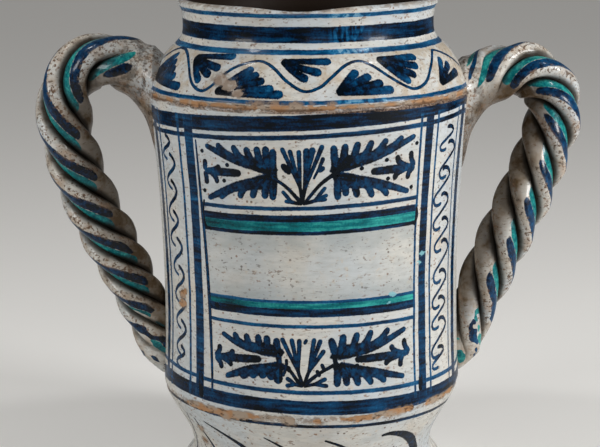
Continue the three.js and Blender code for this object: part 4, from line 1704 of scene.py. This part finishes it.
class RopeFinish(Ceramic):
    """The handles' surface: a stroke of green and one of blue along each strand, worn on the crests."""

    coat: float = 0.2
    gloss: float = 0.16
    bump: float = 0.4
    worn_roughness: float = 0.4
    worn_depth: float = 0.6
    # The middle and half the width of each stroke, in shares of a strand, and where its edge fades
    green_stroke: Point2 = (0.165, 0.15)
    blue_stroke: Point2 = (0.475, 0.155)
    stroke_edge: Point2 = (1.08, 0.92)
    # Where the strokes stop, how far before and after that they get ragged, and how much they sway there
    stroke_stop: float = 48.0
    tail_part: Point2 = (12.0, 14.0)
    tail_sway: float = 0.5
    steady_sway: float = 0.1
    dab_edge: float = 0.52
    dab_gain: float = 14.0
    # Where their reach round the rope changes: counted from their start, and from the rope's upper end
    first_change: Point2 = (4.0, 30.0)
    later_change: Point2 = (60.0, 108.0)
    # The bare end, and how softly strokes end: across the rope in degrees and along it in millimetres
    end_reach: float = 10.0
    side_fade: float = 14.0
    end_fade: float = 7.0
    # From where, to where and how much: painted shade on the inner side, grime in clouds, tint in clouds,
    # and darker colour on the inner side as painted shade
    inner_shade: Triple = (0.2, -0.7, 0.78)
    cloud_grime: Triple = (0.42, 0.75, 0.35)
    cloud_tint: Triple = (0.42, 0.7, 0.6)
    inner_shade_load: Triple = (20, 125, 0.3)
    mottle_share: float = 0.7
    green_load: float = -0.1
    blue_load: float = 0.26
    # The strip along the crest that is rubbed, the rubbed upper end, and how pitted they are
    crest_strip: Triple = (0.6, 0.86, 0.12)
    joint_part: Point2 = (14.0, 6.0)
    joint_share: float = 0.7
    bare_share: float = 0.8
    pit_share: float = 0.75
    # The painted shade in the grooves, which reaches further on the inner side, and the dirt of the upper
    # end's crust
    groove_edge: Point2 = (0.17, 0.02)
    groove_spread: float = 0.09
    crust_share: float = 0.6
    groove_shade_and_crust_share: float = 0.92
    groove_and_crust_roughness: float = 0.7

    def __init__(self, handle: RopeHandle, stroke_start: float, strength: float, reach: Triple) -> None:
        """Works out where a place lies on the rope and on its strand.

        Args:
            handle: the handle.
            stroke_start: how far from its upper end the strokes start.
            strength: how thick their colour is.
            reach: how far round from the outside they run, in degrees: first, and what is added later.
        """
        super().__init__("rope_glaze_" + handle.lean.name.lower())
        self.stroke_start = stroke_start
        self.strength = strength
        self.reach = reach
        around, along, _ = self.split(self.value("UVMap", {"uv_map": "UVMap"}))
        share = (around * STRANDS) % 1.0
        self.strand = share if handle.lean is Lean.LEFT else 1 - share
        self.way = along * handle.length
        self.left = handle.length - self.way
        self.outward = self.attribute("outward")
        self.fade = self.attribute("fade")
        self.facing = self.math("ARCCOSINE", self.outward) * (180 / math.pi) + self.sway("rope_turn")

    def _strokes(self) -> tuple[Value, Value, Value]:
        """Gives the strokes of colour that lie along each strand.

        Returns:
            The mask of the green, the mask of the blue, and the place across the strand.
        """
        way, start = self.way, self.stroke_start
        before, after = self.tail_part
        tail = self.left.step(self.stroke_stop + before, self.stroke_stop - after)
        across = self.strand + self.sway("rope_sway") * (tail * self.tail_sway + self.steady_sway)
        first, last = self.first_change
        reach = self.reach[0] + way.part(start + first, start + last, self.reach[1])
        reach = reach + way.part(*self.later_change, self.reach[2]) + self.sway("rope_reach")
        past = self.math("MAXIMUM", (self.facing - reach) / self.side_fade, 0.0)
        past = past + self.math("MAXIMUM", (start - way) / self.end_fade, 0.0)
        dabs = self.math("MAXIMUM", self.dab_edge - self.noise("rope_dabs"), 0.0)
        past = past + tail * dabs * self.dab_gain
        past = past + self.math("MAXIMUM", (self.end_reach - self.left) / self.end_fade, 0.0)
        edge = self.sway("rope_edges")
        masks = []
        for middle, half in (self.green_stroke, self.blue_stroke):
            off = (across - middle) / half
            masks.append((self.math("SQRT", off * off + past * past) + edge).step(*self.stroke_edge))
        return masks[0], masks[1], across

    def build(self) -> bpy.types.Material:
        """Builds the material.

        Returns:
            The material.
        """
        green, blue, across = self._strokes()
        clouds = self.noise("rope_clouds")
        # Painted shade: inner darkens the side of the rope that faces the jar, where shade falls; its clouds
        # add real grime
        inner = self.outward.part(*self.inner_shade) + clouds.part(*self.cloud_grime)
        base = self.mix(clouds.part(*self.cloud_tint), self.glaze(), "rope_tint")
        mottle = self.sway("rope_mottle") + self.sway("grain")
        # The inner side's extra load darkens both strokes there as painted shade
        load = mottle + self.strength + self.facing.part(*self.inner_shade_load)
        surface = self.mix(inner, base, "grime_and_shade")
        green_load = load + mottle * self.mottle_share + self.green_load
        surface = self.mix(green, surface, self.ramp(green_load, COPPER))
        surface = self.mix(blue, surface, self.ramp(load + self.blue_load, COBALT))
        crest = across.window(*self.crest_strip) * self.fade
        pits = self.cloud("rope_pits")
        start, (below, above) = self.stroke_start, self.joint_part
        joint = self.way.step(start + below, start - above)
        rubbed = crest | joint * (1 - (green | blue)) * self.joint_share
        worn = rubbed & (pits * self.bare_share | self.cloud("rope_bare"))
        surface = self.mix(worn, surface, self.clay())
        surface = self.mix(rubbed & (pits * self.pit_share), surface, "pit")
        groove = 0.5 - abs(self.strand - 0.5)
        crust = joint & self.cloud("rope_crust")
        # Painted shade in the grooves, wider on the inner side, joined with the real dirt of the crust at
        # the upper end
        groove_shade_and_crust = (groove - inner * self.groove_spread).step(*self.groove_edge) * self.fade
        groove_shade_and_crust = groove_shade_and_crust | crust * self.crust_share
        surface = self.mix(groove_shade_and_crust * self.groove_shade_and_crust_share, surface, "shade_and_soot")
        roughness = self.dullness() + (worn | groove_shade_and_crust * self.groove_and_crust_roughness) * self.worn_roughness
        return self.finish(surface, roughness, self.relief() - worn * self.worn_depth, self.bump,
                           self.sockets())


@dataclass
class Studio:
    """The floor, the light and the camera at the photograph's viewing angle."""

    camera_place: Triple = (-5.75, -984.62, 353.49)
    tilt: float = 11.9
    roll: float = 0.6
    lens: float = 105.0
    sensor: float = 36.0
    floor_size: float = 10.0
    floor_back: float = 1.5
    floor_grain: float = 0.06
    floor_roughness: float = 0.85
    floor_bump: float = 0.2
    floor_glow: float = 0.22
    sky_strength: float = 0.15
    aim: Triple = (0, 0, 0.14)
    # Each lamp's name, place in metres, width in metres and power in watts
    lamps: tuple[tuple[str, Triple, float, float], ...] = (
        ("right_softbox", (1.12, -0.58, 0.52), 0.34, 12.6),
        ("left_softbox", (-1.0, -0.6, 0.55), 0.34, 5.0),
        ("right_top_box", (0.6, -0.15, 1.25), 0.14, 2.6),
        ("left_top_box", (-0.6, -0.15, 1.25), 0.14, 2.6),
        ("front_panel", (0.3, -1.9, 0.6), 0.8, 2.4),
    )

    def set_camera(self) -> None:
        """Adds the camera."""
        data = bpy.data.cameras.new("camera")
        data.lens = self.lens
        data.sensor_width = self.sensor
        camera = bpy.data.objects.new("camera", data)
        bpy.context.scene.collection.objects.link(camera)
        level = Matrix.Rotation(math.radians(90 - self.tilt), 4, "X")
        rolled = Matrix.Rotation(math.radians(-self.roll), 4, "Z")
        camera.matrix_world = Matrix.Translation(Vector(self.camera_place) * MM) @ level @ rolled
        bpy.context.scene.camera = camera

    def set_floor(self) -> None:
        """Adds a pale floor that reaches far back behind the jar."""
        bpy.ops.mesh.primitive_plane_add(size=self.floor_size, location=(0, self.floor_back, 0))
        floor = bpy.context.object
        floor.name = floor.data.name = "floor"
        graph = Graph("pale_floor")
        grain = graph.noise("floor")
        colour = graph.mix(grain * self.floor_grain, "floor", "sky")
        glow = graph.value("LightPath", output="Is Camera Ray") * self.floor_glow
        shine = {"Emission Color": TONES["floor"], "Emission Strength": glow}
        finish = graph.finish(colour, self.floor_roughness, grain, self.floor_bump, shine)
        floor.data.materials.append(finish)
        floor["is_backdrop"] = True

    def set_light(self) -> None:
        """Adds soft lamps beside and above the jar, a wide one in front, and an even sky."""
        for name, place, size, power in self.lamps:
            data = bpy.data.lights.new(name, "AREA")
            data.size = size
            data.energy = power
            lamp = bpy.data.objects.new(name, data)
            bpy.context.scene.collection.objects.link(lamp)
            turn = (Vector(self.aim) - Vector(place)).to_track_quat("-Z", "Y")
            lamp.matrix_world = Matrix.Translation(place) @ turn.to_matrix().to_4x4()
        world = bpy.data.worlds.new("sky")
        world.use_nodes = True
        sky = world.node_tree.nodes["Background"].inputs
        sky[0].default_value = TONES["sky"]
        sky[1].default_value = self.sky_strength
        bpy.context.scene.world = world


HANDLES: dict[str, dict[str, Any]] = {
    "left": {
        "side": -1, "arch_rise": 16.0, "bend_width": 22.5, "bend_drop": 28.0, "hang_share": 0.31,
        "top_pitch": 146.0, "foot_pitch": 74.0, "first_groove": 0.18, "lean": Lean.LEFT,
    },
    "right": {
        "side": 1, "arch_rise": 8.0, "bend_width": 20.5, "bend_drop": 22.0, "hang_share": 0.2,
        "top_pitch": 76.0, "foot_pitch": 116.0, "first_groove": 0.03, "lean": Lean.RIGHT,
    },
}


STROKES: dict[str, dict[str, Any]] = {
    "left": {"stroke_start": 32.0, "strength": 0.42, "reach": (112.0, 6.0, 0.0)},
    "right": {"stroke_start": 19.0, "strength": 0.36, "reach": (84.0, 36.0, -34.0)},
}


def settle(piece: bpy.types.Object, material: bpy.types.Material, nodes: list[str],
           box: tuple[Any, Any]) -> None:
    """Dresses a piece, keeps it inside the solid model's box and ties it to the jar.

    Args:
        piece: the piece.
        material: its material.
        nodes: the solid nodes that it stands for.
        box: the two corners of the solid model's box.
    """
    move_points(piece.data, np.clip(points_of(piece.data), np.array(box[0]), np.array(box[1])))
    piece.data.materials.clear()
    piece.data.materials.append(material)
    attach(piece, JAR_BODY)
    if nodes:
        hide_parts(*nodes)
    piece.data.calc_loop_triangles()
    count = len(piece.data.loop_triangles)
    LOG.info("%s: %d triangles, stands for %s", piece.name, count, nodes or "paint")


def main() -> None:
    """Builds the jar around its solid frame."""
    logging.basicConfig(level=logging.INFO, format="%(relativeCreated)6d ms  %(message)s")
    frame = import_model()
    cad_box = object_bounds()
    bpy.context.scene.view_settings.view_transform = "Standard"
    studio = Studio()
    studio.set_camera()
    studio.set_floor()
    studio.set_light()
    outline = Outline()
    outline.read(frame["nodes"]["vessel"])
    jar = JarBody(outline)
    settle(jar.build(), JarFinish().build(), ["vessel"], cad_box)
    for name, sizes in HANDLES.items():
        handle = RopeHandle(name + "_rope_handle", outline, **sizes)
        nodes = sorted(n for n in frame["nodes"] if n.startswith(name))
        finish = RopeFinish(handle, **STROKES[name])
        settle(handle.build(), finish.build(), nodes, cad_box)
    brush, paint = Brush(jar), PaintFinish("brushed_cobalt").build()
    for name, shapes in PAINTING.items():
        settle(brush.lay(name, shapes), paint, [], cad_box)
    boxes = {"cad": cad_box, "visual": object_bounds()}
    sizes = {name: [list(corner) for corner in box] for name, box in boxes.items()}


if __name__ == "__main__":
    main()
